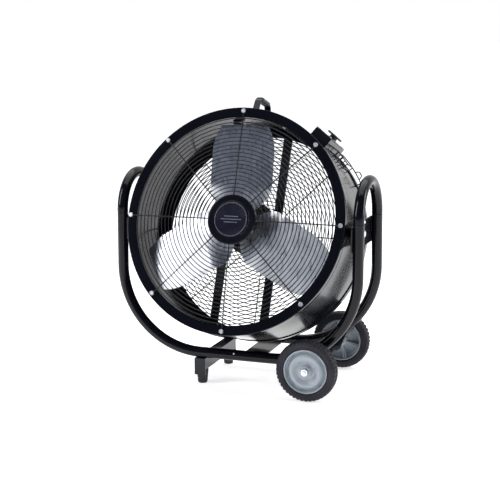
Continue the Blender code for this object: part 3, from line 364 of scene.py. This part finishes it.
def merge(shapes):
    whole = bmesh.new()
    for shape in shapes:
        mesh = bpy.data.meshes.new("part")
        shape.to_mesh(mesh)
        shape.free()
        whole.from_mesh(mesh)
        bpy.data.meshes.remove(mesh)
    return whole


def moved(shape, matrix):
    bmesh.ops.transform(shape, matrix=matrix, verts=shape.verts)
    return shape


def repaint(name, material, bevel=0.0):
    """A CAD piece whose shape is right keeps it, with a finished material and softened edges."""
    piece = NODES[name]
    piece.data.materials.clear()
    piece.data.materials.append(material)
    if bevel:
        round_edges(piece, bevel)


# ---- cradle --------------------------------------------------------------------------------
def leaning(x, up, side):
    depth = BASE_DEPTH - up * math.sin(LEAN)
    return Vector((x, MIDDLE_Y + side * depth, BASE_Z + up * math.cos(LEAN)))


def build_tubes():
    rise = (JOINT_Z - BASE_Z) / math.cos(LEAN)
    straight = HALF_WIDTH - CORNER
    chamfer = 0.0007
    for name, side in (("front_u_tube", -1), ("rear_u_tube", 1)):
        half = [(0.0, 0.0), (straight * 0.5, 0.0)]
        for k in range(41):
            angle = -math.pi / 2 + (math.pi / 2) * k / 40
            half.append((straight + CORNER * math.cos(angle), CORNER + CORNER * math.sin(angle)))
        half += [(HALF_WIDTH, rise * 0.9), (HALF_WIDTH, rise - chamfer), (HALF_WIDTH, rise)]
        radii = [TUBE] * (len(half) - 1) + [TUBE - chamfer]
        outline = [(-a, b) for a, b in reversed(half)] + half[1:]
        radii = list(reversed(radii)) + radii[1:]
        points = [leaning(a, b, side) for a, b in outline]
        make("smooth_" + name, tube(points, radii, 40, start_normal=Vector((0, 1, 0))), COAT, "stand", [name])
    start = rise + 0.0003
    spring = leaning(0.0, start + 0.008, 1)
    reach = spring.y - MIDDLE_Y
    radius = reach / math.cos(LEAN)
    centre_z = spring.z - radius * math.sin(LEAN)
    for name, end in (("left_hoop", -1), ("right_hoop", 1)):
        x = end * HALF_WIDTH
        rear = [leaning(x, start, 1), leaning(x, start + chamfer, 1), leaning(x, start + 0.004, 1)]
        front = [leaning(x, start + 0.004, -1), leaning(x, start + chamfer, -1), leaning(x, start, -1)]
        bend = []
        for k in range(49):
            angle = LEAN + (math.pi - 2 * LEAN) * k / 48
            bend.append(Vector((x, MIDDLE_Y + radius * math.cos(angle), centre_z + radius * math.sin(angle))))
        points = rear + bend + front
        radii = [TUBE - chamfer] + [TUBE] * (len(points) - 2) + [TUBE - chamfer]
        make("smooth_" + name, tube(points, radii, 40, start_normal=Vector((1, 0, 0))), COAT, "stand", [name])


def build_stand_details():
    for name in ("left_pivot_plate", "right_pivot_plate", "foot_channel", "centre_brace", "front_hanger",
                 "rear_hanger"):
        repaint(name, SHEET, 0.0008)
    for name in ("left_front", "left_rear", "right_front", "right_rear"):
        repaint(name + "_hoop_screw", ZINC, 0.0003)
    shoulder = 0.0439
    profile = [(0, 0.0), (0.0125, 0.0), (0.0145, 0.003), (0.0152, 0.012), (0.0146, 0.013), (0.0146, 0.0145),
               (0.0155, 0.0155), (0.0179, 0.0405), (0.0172, shoulder), (0.0, shoulder)]
    for name in ("front_foot", "rear_foot"):
        low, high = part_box(name)
        centre = (Vector(low) + Vector(high)) / 2
        place = Matrix.Translation((centre.x, centre.y, 0))
        make("moulded_" + name, lathe(rounded(profile, 0.0012), 64, "Z"), RUBBER, "stand", [name],
             place)
    button = rounded([(0, -0.001), (0.0034, -0.001), (0.0030, 0.0012), (0.0016, 0.0019), (0, 0.0020)], 0.0004)
    top_x, face_x, face_turn = -0.111, -0.003, math.radians(-60)
    seat = TUBE - 0.0002
    screws = []
    for side in (-1, 1):
        tube_y = MIDDLE_Y + side * BASE_DEPTH
        screws.append(moved(lathe(button, 32, "Z"), Matrix.Translation((top_x, tube_y, BASE_Z + seat))))
        face = Matrix.Translation((face_x, tube_y, BASE_Z)) @ Matrix.Rotation(side * face_turn, 4, "X")
        screws.append(moved(lathe(button, 32, "Z"), face @ Matrix.Translation((0, 0, seat))))
    make("tube_screw_heads", merge(screws), STEEL, "stand")
    axle = Matrix.Translation((AXLE_X, MIDDLE_Y, WHEEL))
    half = WHEEL_Y - WHEEL_HALF - GAP
    bore, outside, chamfer = 0.0064, 0.011, 0.0006
    sleeve = [(bore, -half), (outside - chamfer, -half), (outside, -half + chamfer),
              (outside, half - chamfer),
              (outside - chamfer, half), (bore, half)]
    make("smooth_axle_tube", lathe(sleeve, 64, closed=True), COAT, "stand", ["axle_tube"], axle)
    nut, thread_end = 0.008, 0.0015
    tip = WHEEL_Y + WHEEL_HALF + GAP + nut + thread_end
    rod = [(0, -tip), (0.0048, -tip), (0.006, -tip + 0.0012), (0.006, tip - 0.0012), (0.0048, tip), (0, tip)]
    make("smooth_axle", lathe(rod, 48), STEEL, "stand", ["axle"], axle)
    for name, side in (("front", -1), ("rear", 1)):
        near = side * (WHEEL_Y + WHEEL_HALF + GAP)
        hexagon = hex_head(0.0110, nut, 0.0062)
        turn = Matrix.Rotation(math.pi, 4, "Z") if side > 0 else Matrix.Identity(4)
        place = axle @ Matrix.Translation((0, near, 0)) @ turn
        make(name + "_hex_nut", hexagon, ZINC, "stand", [name + "_axle_nut"], place, bevel=0.0004)


def hex_head(radius, height, bore=0.0):
    """A chamfered hexagon with its seat at 0 and its top towards -Y."""
    flat = radius * math.cos(math.pi / 6)
    shape = bmesh.new()
    sides = 36
    rings = []
    levels = [(0.0, 1.0), (-height * 0.72, 1.0), (-height, 0.0)]
    for along, sharp in levels:
        ring = []
        for k in range(sides):
            angle = math.tau * k / sides
            local = (angle + math.pi / 6) % (math.pi / 3) - math.pi / 6
            corner = flat / math.cos(local)
            limit = min(corner, flat * 1.02) if sharp == 0.0 else corner
            ring.append(shape.verts.new((limit * math.cos(angle), along, limit * math.sin(angle))))
        rings.append(ring)
    if bore:
        for along in (-height, 0.0):
            rings.append([shape.verts.new((bore * math.cos(math.tau * k / sides), along,
                                           bore * math.sin(math.tau * k / sides))) for k in range(sides)])
    pairs = list(zip(rings, rings[1:]))
    if bore:
        pairs.append((rings[-1], rings[0]))
    for near, far in pairs:
        for k in range(sides):
            after = (k + 1) % sides
            shape.faces.new([near[k], near[after], far[after], far[k]])
    if not bore:
        shape.faces.new(rings[0])
        shape.faces.new(rings[-1])
    return shape


# ---- wheels --------------------------------------------------------------------------------
def build_wheel(body, side):
    """Outward is towards the side the nut is on."""
    turn = Matrix.Rotation(math.pi, 4, "Z") if side > 0 else Matrix.Identity(4)
    place = Matrix.Translation((AXLE_X, MIDDLE_Y + side * WHEEL_Y, WHEEL)) @ turn
    half = WHEEL_HALF
    carcass = [
        (SEAT, -half + 0.005), (SEAT + 0.0020, -half + 0.0015), (SEAT + 0.0050, -half),
        (SEAT + 0.0075, -half + 0.0012), (SEAT + 0.0090, -half + 0.0004),
        (WHEEL - 0.0105, -half + 0.0002), (WHEEL - 0.0060, -half + 0.0020),
        (WHEEL - 0.0030, -half + 0.0062), (WHEEL - 0.0022, 0.0), (WHEEL - 0.0030, half - 0.0062),
        (WHEEL - 0.0060, half - 0.0020), (WHEEL - 0.0105, half - 0.0002), (SEAT + 0.0090, half - 0.0004),
        (SEAT + 0.0075, half - 0.0012), (SEAT + 0.0050, half), (SEAT + 0.0020, half - 0.0015),
        (SEAT, half - 0.005),
    ]
    shapes = [lathe(rounded(carcass, 0.002, 3), 144, closed=True)]
    count = 44
    for k in range(count):
        for row, shift in ((-1, 0.0), (1, 0.5)):
            shapes.append(tread_lug(math.tau * (k + shift) / count, math.tau / count * 0.30, row))
    make("treaded_" + body + "_tyre", merge(shapes), TYRE, body, [body + "_tyre"], place, angle=28)
    rim = SEAT - GAP
    dish = [
        (0.0108, -half + 0.0002), (0.0150, -half + 0.0002), (0.0168, -half + 0.0040),
        (0.0200, -half + 0.0105),
        (0.0270, -half + 0.0115), (0.0330, -half + 0.0070), (0.0400, -half + 0.0024),
        (0.0470, -half + 0.0040),
        (0.0520, -half + 0.0110), (0.0562, -half + 0.0135), (0.0590, -half + 0.0120),
        (0.0604, -half + 0.0020),
        (0.0618, -half + 0.0004), (rim, -half + 0.0010), (rim, half - 0.0040), (0.0612, half - 0.0035),
        (0.0600, half - 0.0050), (0.0592, -half + 0.0165), (0.0520, -half + 0.0150), (0.0470, -half + 0.0080),
        (0.0400, -half + 0.0060), (0.0330, -half + 0.0108), (0.0270, -half + 0.0150),
        (0.0200, -half + 0.0150),
        (0.0185, half - 0.0040), (0.0150, half - 0.0002), (0.0108, half - 0.0002),
    ]
    hub = [lathe(rounded(dish, 0.0024, 3), 120, closed=True)]
    for k in range(6):
        angle = math.tau * (k + 0.25) / 6
        for offset in (-0.055, 0.055):
            rib = box((0.0180, -half + 0.0105, -0.0009), (0.0598, half - 0.0070, 0.0009))
            hub.append(moved(rib, Matrix.Rotation(-(angle + offset), 4, "Y")))
    make("dished_" + body + "_hub", merge(hub), GREY, body, [body + "_hub"], place, angle=45)
    bush = rounded([(0.0064, -half), (0.0105, -half), (0.0105, half), (0.0064, half)], 0.0008)
    make("smooth_" + body + "_bush", lathe(bush, 48, closed=True), PLASTIC, body, [body + "_bush"],
         place)


def tread_lug(angle, spread, row):
    """A raised block across the shoulder of the tyre."""
    shape = bmesh.new()
    half = WHEEL_HALF
    across = [(row * 0.0012, WHEEL - 0.0001), (row * 0.0085, WHEEL - 0.0003),
              (row * (half - 0.0048), WHEEL - 0.0016), (row * (half - 0.0012), WHEEL - 0.0052)]
    sunk = 0.0035
    slices = []
    for along, radius in across:
        skew = angle + 0.02 * abs(along) / half
        slices.append([
            shape.verts.new(on_axis(radius, skew - spread, along, "Y")),
            shape.verts.new(on_axis(radius, skew + spread, along, "Y")),
            shape.verts.new(on_axis(radius - sunk, skew + spread * 1.25, along, "Y")),
            shape.verts.new(on_axis(radius - sunk, skew - spread * 1.25, along, "Y")),
        ])
    for near, far in zip(slices, slices[1:]):
        for k in range(4):
            after = (k + 1) % 4
            shape.faces.new([near[k], near[after], far[after], far[k]])
    shape.faces.new(slices[0])
    shape.faces.new(slices[-1])
    return shape


# ---- drum ----------------------------------------------------------------------------------
def build_drum():
    front = -(FRONT - RIM_SHEET - GAP)
    rear = -(REAR + RIM_SHEET + GAP)
    inner = SHELL - SHELL_SHEET
    steps = 12
    wall = [(SHELL, front + (rear - front) * k / steps) for k in range(steps + 1)]
    wall += [(inner, rear - (rear - front) * k / steps) for k in range(steps + 1)]
    make("smooth_drum_shell", lathe(wall, 192, closed=True), SHEET, "drum", ["drum_shell"],
         DRUM)
    for name, face, into in (("front_rim", -FRONT, 1), ("rear_rim", -REAR, -1)):
        profile = [
            (OPENING, face + into * RIM_SHEET), (OPENING, face), (RIM, face), (RIM, face + into * SKIRT),
            (RIM - RIM_SHEET, face + into * SKIRT), (RIM - RIM_SHEET, face + into * RIM_SHEET),
            (OPENING, face + into * RIM_SHEET),
        ]
        ring = rounded(profile, 0.0016, 4)[:-1]
        make("rolled_" + name, lathe(ring, 192, closed=True), COAT, "drum", [name], DRUM)
    for k in range(8):
        angle = math.pi / 2 + math.tau * k / 8
        place = DRUM @ Matrix.Translation((BOLT_CIRCLE * math.cos(angle), -(FRONT + GAP),
                                           BOLT_CIRCLE * math.sin(angle)))
        place = place @ Matrix.Rotation(0.3 * k, 4, "Y")
        parts = [
            lathe(rounded([(0, 0.008), (0.0030, 0.008), (0.0030, 0.0), (0.0066, 0.0), (0.0066, -0.0012),
                           (0.0040, -0.0014), (0.0040, -0.0030), (0.0, -0.0030)], 0.0003), 32),
            moved(hex_head(0.0069, 0.0045), Matrix.Translation((0, -0.0036, 0))),
        ]
        make("hex_guard_bolt_%d" % (k + 1), merge(parts), ZINC, "drum", ["front_guard_bolt_%d" % (k + 1)],
             place)
    for name, end in (("left", -1), ("right", 1)):
        repaint(name + "_pivot_boss", SHEET, 0.0006)
        seat = end * 0.3468
        bolt = lathe(rounded([(0, end * 0.330), (0.006, end * 0.330), (0.006, seat), (0.0125, seat),
                              (0.0125, seat + end * 0.0018), (0.0100, seat + end * 0.0030),
                              (0.0, seat + end * 0.0030)], 0.0006), 64, "X")
        head = moved(hex_head(0.0098, 0.0048), Matrix.Translation((seat + end * 0.0027, 0, 0))
                     @ Matrix.Rotation(math.pi / 2 * end, 4, "Z"))
        make("hex_" + name + "_pivot_bolt", merge([bolt, head]), ZINC, "drum", [name + "_pivot_bolt"],
             DRUM)


def dome(radius):
    return BULGE * max(0.0, 1 - (radius / OPENING) ** 2)


def guard_wires(face, outward, first_ring):
    """Close rings welded to eight radial wires, which end in eyes on the bolt circle."""
    shape = bmesh.new()
    pitch = 0.01135
    last = OPENING - 0.0042

    def at(radius, angle, lift):
        along = -(face + outward * (0.0018 + dome(radius) + lift))
        return Vector((radius * math.cos(angle), along, radius * math.sin(angle)))

    radius = last
    while radius > first_ring:
        points = [at(radius, math.tau * k / 120, 0.0009) for k in range(120)]
        tube(points, WIRE, 8, closed=True, start_normal=Vector((0, 1, 0)), shape=shape)
        radius -= pitch
    for k in range(8):
        angle = math.pi / 2 + math.tau * k / 8
        inner = first_ring - 0.004
        points = [at(inner + (last + 0.006 - inner) * i / 16, angle, -0.0002) for i in range(17)]
        points.append(at(BOLT_CIRCLE - 0.0066, angle, 0.0))
        tube(points, WIRE * 1.15, 8, shape=shape)
        eye = []
        for i in range(28):
            turn = math.tau * i / 28
            centre = at(BOLT_CIRCLE, angle, 0.0)
            eye.append(centre + 0.0060 * Vector((math.cos(turn), 0, math.sin(turn))))
        tube(eye, WIRE * 0.95, 8, closed=True, start_normal=Vector((0, 1, 0)), shape=shape)
    return shape


def build_guards():
    make("front_guard_wires", guard_wires(FRONT, 1, DISC - 0.010), INSIDE, "drum", ["front_guard"],
         DRUM, angle=60)
    make("rear_guard_wires", guard_wires(REAR, -1, DISC - 0.016), INSIDE, "drum", ["rear_guard"],
         DRUM, angle=60)
    seat = FRONT + 0.0036 + dome(0.0575)
    disc = [(0, -seat), (DISC - 0.005, -seat), (DISC - 0.0004, -seat - 0.0009),
            (DISC - 0.0012, -seat - 0.0024),
            (DISC - 0.0045, -seat - 0.0030), (BADGE + 0.003, -seat - 0.0030),
            (BADGE + 0.0018, -seat - 0.0022),
            (0, -seat - 0.0022)]
    make("pressed_guard_disc", lathe(rounded(disc, 0.0008), 128), SHEET, "drum", ["guard_disc"],
         DRUM)
    face = seat + 0.0033
    badge = [(0, -face), (BADGE - 0.0004, -face), (BADGE - 0.0004, -face - 0.0012),
             (BADGE - 0.0014, -face - 0.0018), (BADGE - 0.0044, -face - 0.0018),
             (BADGE - 0.0050, -face - 0.0013), (0, -face - 0.0013)]
    make("badge_plate", lathe(rounded(badge, 0.0004), 128), NAVY, "drum", ["guard_badge"], DRUM)
    ring = [(BADGE - 0.0034, -face - 0.0012), (BADGE - 0.0020, -face - 0.0012),
            (BADGE - 0.0021, -face - 0.0019),
            (BADGE - 0.0033, -face - 0.0019)]
    make("badge_ring", lathe(ring, 128, closed=True), SILVER, "drum", place=DRUM)
    bars = []
    for height, half_length in ((0.0085, 0.020), (0.0, 0.030), (-0.0085, 0.020)):
        outline = []
        for start, centre in ((-90, half_length), (90, -half_length)):
            for k in range(9):
                angle = math.radians(start + 180 * k / 8)
                outline.append((centre + 0.0013 * math.cos(angle), height + 0.0013 * math.sin(angle)))
        bars.append(prism(outline, -face - 0.0010, -face - 0.0017, "Y"))
    make("badge_bars", merge(bars), SILVER, "drum", place=DRUM)


# ---- motor and fan ---------------------------------------------------------------------------
def build_motor():
    for name in ("left_motor_bar", "right_motor_bar"):
        repaint(name, SHEET, 0.0008)
    ears, rear, nose = 0.0177, 0.0640, -0.0540
    profile = [(0, rear - 0.0001), (0.0400, rear - 0.0001), (0.0500, rear - 0.0060), (0.0530, rear - 0.0110),
               (0.0530, ears + 0.0004), (0.0800, ears - 0.0002), (0.0810, ears - 0.0046),
               (0.0690, ears - 0.0056),
               (0.0672, ears - 0.0080), (0.0672, nose + 0.0170), (0.0630, nose + 0.0080),
               (0.0480, nose + 0.0062),
               (0.0440, nose + 0.0052), (0.0200, nose + 0.0002), (0.0084, nose + 0.0002), (0.0084, -0.0132),
               (0, -0.0132)]
    shapes = [lathe(rounded(profile, 0.0018), 96)]
    for k in range(32):
        fin = box((0.0640, nose + 0.0180, -0.0009), (0.0679, ears - 0.0070, 0.0009))
        shapes.append(moved(fin, Matrix.Rotation(math.tau * k / 32, 4, "Y")))
    for angle in (45, 135, 225, 315):
        head = moved(hex_head(0.0042, 0.0028), Matrix.Translation((0, nose + 0.0062, 0)))
        place = Matrix.Rotation(math.radians(angle), 4, "Y") @ Matrix.Translation((0.054, 0, 0))
        shapes.append(moved(head, place))
    make("finned_motor", merge(shapes), SHEET, "drum", ["motor_housing"], DRUM)


def blade_half_width(height):
    full = 0.33 * BLADE_TIP
    shoulder = 0.72 * BLADE_TIP
    if height < full:
        share = (height - BLADE_ROOT) / (full - BLADE_ROOT)
        return BLADE_HALF_ROOT + (BLADE_HALF - BLADE_HALF_ROOT) * math.sin(share * math.pi / 2)
    if height < shoulder:
        return BLADE_HALF
    share = (height - shoulder) / (BLADE_TIP - shoulder)
    return BLADE_HALF * (1 - 0.24 * share ** 2)


def blade():
    rows_count = 44
    columns = 24
    base = HUB_FACE + 0.0013
    shape = bmesh.new()
    faces = []
    for offset in (-BLADE_SHEET / 2, BLADE_SHEET / 2):
        rows = []
        for i in range(rows_count + 1):
            share = i / rows_count
            height = BLADE_ROOT + (BLADE_TIP - BLADE_ROOT) * share
            half = blade_half_width(height)
            bend = max(0.0, min(1.0, (height - HUB_DISC - 0.004) / 0.06))
            row = []
            for j in range(columns + 1):
                across = half * (2 * j / columns - 1)
                droop = BLADE_DROOP * (across / BLADE_HALF) ** 2 * max(0.0, (share - 0.9) / 0.1)
                reach = -across * math.tan(BLADE_PITCH) * bend * bend * (3 - 2 * bend)
                row.append(shape.verts.new((across, -(base + reach + offset), height - droop)))
            rows.append(row)
        for near, far in zip(rows, rows[1:]):
            for j in range(columns):
                shape.faces.new([near[j], near[j + 1], far[j + 1], far[j]])
        faces.append(rows)
    low, high = faces
    rim = [(r, 0) for r in range(rows_count)] + [(rows_count, c) for c in range(columns)]
    rim += [(rows_count - r, columns) for r in range(rows_count)] + [(0, columns - c) for c in range(columns)]
    for (r, c), (s, d) in zip(rim, rim[1:] + rim[:1]):
        shape.faces.new([low[r][c], low[s][d], high[s][d], high[r][c]])
    return shape


def build_fan():
    face = -HUB_FACE
    shaft = [(0, -0.0142), (0.008, -0.0142), (0.008, face - 0.0170), (0.0070, face - 0.0180),
             (0, face - 0.0180)]
    make("smooth_motor_shaft", lathe(shaft, 48), STEEL, "fan", ["motor_shaft"], DRUM)
    hub = [(0.0083, -0.0620), (0.0200, -0.0620), (0.0200, face + 0.0040), (HUB_DISC, face + 0.0040),
           (HUB_DISC, face), (0.0200, face), (0.0200, face - 0.0120), (0.0083, face - 0.0120)]
    make("turned_fan_hub", lathe(rounded(hub, 0.0012), 96, closed=True), CAST, "fan", ["fan_hub"],
         DRUM)
    start = face - 0.0020
    rivet = [(0, start), (0.0034, start), (0.0030, start - 0.0012), (0.0018, start - 0.0020),
             (0, start - 0.0022)]
    for k in range(3):
        turn = Matrix.Rotation(BLADE_START - math.tau * k / 3, 4, "Y")
        make("shaped_blade_%d" % (k + 1), blade(), BLADE, "fan", ["fan_blade_%d" % (k + 1)],
             DRUM @ turn, angle=50)
        rivets = [moved(lathe(rivet, 20), Matrix.Translation((x, 0, z)))
                  for x, z in ((-0.014, 0.034), (0.014, 0.034), (0.0, 0.048))]
        make("blade_rivets_%d" % (k + 1), merge(rivets), ZINC, "fan", place=DRUM @ turn)


# ---- controls, handle and cord rack --------------------------------------------------------------
def build_controls():
    """In the box's own frame X is outward, Y runs along the drum and Z across the box."""
    base = SHELL + GAP
    top = base + 0.030
    lid = top - 0.003
    half_length = 0.0725
    half_width = 0.030
    repaint("control_box", SHEET, 0.0009)
    cover = box((lid, -half_length, -half_width), (top, half_length, half_width))
    make("rounded_box_lid", cover, SHEET, "drum", ["control_box_lid"], BOX, bevel=0.0011)
    screws = []
    for y in (-0.064, 0.064):
        for z in (-0.022, 0.022):
            head = lathe([(0, top - 0.001), (0.0030, top - 0.001), (0.0030, top + 0.0008),
                          (0.0022, top + 0.0014),
                          (0, top + 0.0016)], 24, "X")
            screws.append(moved(head, Matrix.Translation((0, y, z))))
    make("box_lid_screws", merge(screws), ZINC, "drum", place=BOX)
    place = BOX @ Matrix.Translation((0, 0.030 - BOX_MIDDLE, 0))
    collar = [(0.0052, top + 0.0001), (0.0160, top + 0.0001), (0.0154, top + 0.0012), (0.0052, top + 0.0012)]
    make("knob_collar", lathe(rounded(collar, 0.0004), 64, "X", closed=True), PLASTIC, "drum",
         place=place)
    under = top + 0.0085
    thick = 0.006
    knob = [(0, lid - 0.004), (0.004, lid - 0.004), (0.004, top + 0.0015), (0.0125, top + 0.0015),
            (0.0118, under), (0.0250, under), (0.0255, under + 0.0010), (0.0250, under + thick - 0.001),
            (0.0236, under + thick), (0.0, under + thick)]
    shapes = [lathe(rounded(knob, 0.0007), 96, "X")]
    for k in range(40):
        flute = box((under + 0.0008, 0.0246, -0.0007), (under + thick - 0.0012, 0.0256, 0.0007))
        shapes.append(moved(flute, Matrix.Rotation(math.tau * k / 40, 4, "X")))
    make("fluted_knob", merge(shapes), PLASTIC, "knob", ["speed_knob"], place)
    pointer = box((under + thick - 0.0002, -0.0008, 0.010), (under + thick + 0.00005, 0.0008, 0.0225))
    make("knob_pointer", pointer, PRINT, "knob", place=place)
    ticks = []
    for k in range(11):
        angle = math.radians(-125 + 25 * k)
        tick = box((top - 0.0004, -0.0005, 0.0268), (top + 0.0002, 0.0005, 0.0290))
        ticks.append(moved(tick, Matrix.Rotation(angle, 4, "X")))
    make("dial_ticks", merge(ticks), PRINT, "drum", place=place)


def build_handle():
    foot = SHELL + 0.0006
    top = SHELL + 0.056
    front, rear, lean, flange, thick = -0.050, 0.075, 0.018, 0.016, 0.004
    middle = thick / 2
    line = [
        (front - flange, foot + middle), (front - 0.002, foot + middle), (front + lean, top - 0.004),
        (front + lean + 0.009, top + middle), (rear - lean - 0.009, top + middle), (rear - lean, top - 0.004),
        (rear + 0.002, foot + middle), (rear + flange, foot + middle),
    ]
    line = rounded(line, 0.008, 6)
    outer, inner = [], []
    for i, point in enumerate(line):
        before = Vector(line[max(i - 1, 0)])
        after = Vector(line[min(i + 1, len(line) - 1)])
        along = (after - before).normalized()
        normal = Vector((-along.y, along.x))
        outer.append(tuple(Vector(point) + normal * (middle * 0.98)))
        inner.append(tuple(Vector(point) - normal * (middle * 0.98)))
    strap = prism(outer + inner[::-1], -0.010, 0.010)
    make("bent_handle_strap", strap, COAT, "drum", ["handle_strap"], DRUM, bevel=0.0009)
    low = top - 0.0045
    high = top + thick + 0.0045
    start = front + lean + 0.012
    end = rear - lean - 0.012
    shape = bmesh.new()
    centre = (low + high) / 2
    rings = []
    steps = 46
    for i in range(steps + 1):
        share = i / steps
        swell = 1.0 - 0.05 * (0.5 + 0.5 * math.cos(math.tau * share * 9))
        close = 0.86 if i in (0, steps) else 1.0
        ring = []
        for k in range(32):
            angle = math.tau * k / 32
            x = 0.012 * math.copysign(abs(math.cos(angle)) ** 0.55, math.cos(angle))
            z = (high - low) / 2 * math.copysign(abs(math.sin(angle)) ** 0.55, math.sin(angle))
            ring.append(shape.verts.new((x * swell * close, start + (end - start) * share,
                                         centre + z * swell * close)))
        rings.append(ring)
    for near, far in zip(rings, rings[1:]):
        for k in range(32):
            after = (k + 1) % 32
            shape.faces.new([near[k], near[after], far[after], far[k]])
    shape.faces.new(rings[0])
    shape.faces.new(rings[-1])
    make("ribbed_handle_grip", shape, GRIP, "drum", ["handle_grip"], DRUM, angle=50)


def build_rack():
    """A short ladder at the front, two longer rails with a hook behind, and cross wires between them."""
    wire = 0.0017
    low_radius = SHELL + GAP + wire
    high_radius = SHELL + 0.0165
    foot, head = low_radius - wire * 0.4, high_radius + wire * 0.4
    low, middle, high = math.radians(27.5), math.radians(36.5), math.radians(46.0)
    near, far = -0.032, REAR + SKIRT + 0.0134
    inset = math.radians(0.8)
    shape = bmesh.new()

    def at(radius, angle, ahead):
        return Vector((radius * math.cos(angle), -ahead, radius * math.sin(angle)))

    for ahead, start in ((near, middle), (far, low)):
        for radius in (low_radius, high_radius):
            points = [at(radius, start + (high - start) * k / 24, ahead) for k in range(25)]
            tube(points, wire, 12, shape=shape)
    top = high - inset
    for k in range(5):
        angle = top - (top - middle - inset) * k / 4
        tube([at(head, angle, near), at(foot, angle, near)], wire * 0.95, 12, shape=shape)
    for angle in (top, middle + inset, low + inset):
        tube([at(head, angle, far), at(foot, angle, far)], wire * 0.95, 12, shape=shape)
    for angle in (top, middle + inset):
        for radius in (low_radius, high_radius):
            tube([at(radius, angle, near + wire), at(radius, angle, far - wire)], wire * 0.95, 12,
                 shape=shape)
    turn = math.radians(2.0)
    hook_at = middle - 2 * turn
    corners = [(turn, 0.0), (turn * 0.95, 0.004), (turn * 0.7, 0.0095), (turn * 0.4, 0.012),
               (-turn * 0.4, 0.012),
               (-turn * 0.7, 0.0095), (-turn * 0.95, 0.004), (-turn, 0.0)]
    tube([at(high_radius + out, hook_at + aside, far) for aside, out in corners], wire * 0.95, 12,
         shape=shape)
    make("welded_cord_rack", shape, INSIDE, "drum", ["cord_rack"], DRUM, angle=60)


# ---- studio --------------------------------------------------------------------------------
def area_light(name, place, target, size, power, colour=(1, 1, 1)):
    light = bpy.data.lights.new(name, "AREA")
    light.shape = "RECTANGLE"
    light.size, light.size_y = size
    light.energy = power
    light.color = colour
    lamp = bpy.data.objects.new(name, light)
    lamp.location = place
    lamp.rotation_euler = (Vector(target) - Vector(place)).to_track_quat("-Z", "Y").to_euler()
    bpy.context.scene.collection.objects.link(lamp)


def build_world():
    """White where the camera looks; for the surfaces, dark in front and white behind."""
    world = bpy.data.worlds.new("studio")
    bpy.context.scene.world = world
    world.use_nodes = True
    tree = world.node_tree
    background = tree.nodes["Background"]
    background.inputs["Strength"].default_value = 1.0
    coordinates = tree.nodes.new("ShaderNodeTexCoord")
    split = tree.nodes.new("ShaderNodeSeparateXYZ")
    tree.links.new(coordinates.outputs["Generated"], split.inputs[0])
    ramp = tree.nodes.new("ShaderNodeMapRange")
    ramp.interpolation_type = "SMOOTHSTEP"
    ramp.inputs["From Min"].default_value = -0.10
    ramp.inputs["From Max"].default_value = 0.45
    ramp.inputs["To Min"].default_value = 0.0
    ramp.inputs["To Max"].default_value = 1.0
    tree.links.new(split.outputs["Y"], ramp.inputs["Value"])
    tint = tree.nodes.new("ShaderNodeMix")
    tint.data_type = "RGBA"
    tree.links.new(ramp.outputs["Result"], tint.inputs[0])
    tint.inputs[6].default_value = (0.10, 0.118, 0.165, 1.0)
    tint.inputs[7].default_value = (0.90, 0.90, 0.90, 1.0)
    path = tree.nodes.new("ShaderNodeLightPath")
    choose = tree.nodes.new("ShaderNodeMix")
    choose.data_type = "RGBA"
    tree.links.new(path.outputs["Is Camera Ray"], choose.inputs[0])
    tree.links.new(tint.outputs[2], choose.inputs[6])
    choose.inputs[7].default_value = (1.0, 1.0, 1.0, 1.0)
    tree.links.new(choose.outputs[2], background.inputs["Color"])


def build_studio():
    shape = bmesh.new()
    bmesh.ops.create_grid(shape, x_segments=2, y_segments=2, size=60)
    floor_material = Nodes("pale_floor")
    clouds = floor_material.noise(1.5)
    floor_material.set(Base_Color=floor_material.mix(clouds, (0.96, 0.96, 0.96), (0.98, 0.98, 0.98)),
                       Roughness=0.9, Emission_Color=(1.0, 1.0, 1.0), Emission_Strength=0.62)
    floor = make("floor", shape, floor_material.material, None, rides=False)
    build_world()
    middle = (0, 0, 0.45)
    area_light("softbox_left", (-2.6, -1.9, 1.9), middle, (0.8, 2.2), 62, (1.0, 0.96, 0.98))
    area_light("card_right", (3.2, 1.0, 1.4), middle, (1.0, 2.0), 45)
    area_light("top", (0.0, 0.6, 4.2), (0, 0, 0), (5.0, 4.0), 130)


def build_camera():
    """The viewing angle, distance and lens of a product shot from the front right."""
    level = math.cos(CAMERA_ELEVATION)
    back = Vector((math.sin(CAMERA_AZIMUTH) * level, -math.cos(CAMERA_AZIMUTH) * level,
                   math.sin(CAMERA_ELEVATION)))
    data = bpy.data.cameras.new("camera")
    data.sensor_width = SENSOR
    data.lens = LENS
    camera = bpy.data.objects.new("camera", data)
    camera.location = CAMERA_AIM + back * CAMERA_DISTANCE
    rotation = (-back).to_track_quat("-Z", "Y").to_matrix().to_4x4()
    camera.rotation_euler = (rotation @ Matrix.Rotation(CAMERA_ROLL, 4, "Z")).to_euler()
    bpy.context.scene.collection.objects.link(camera)
    bpy.context.scene.camera = camera


build_tubes()
build_stand_details()
build_wheel("front_wheel", -1)
build_wheel("rear_wheel", 1)
build_drum()
build_guards()
build_motor()
build_fan()
build_controls()
build_handle()
build_rack()
build_studio()
build_camera()
bpy.context.scene.view_settings.view_transform = "Standard"
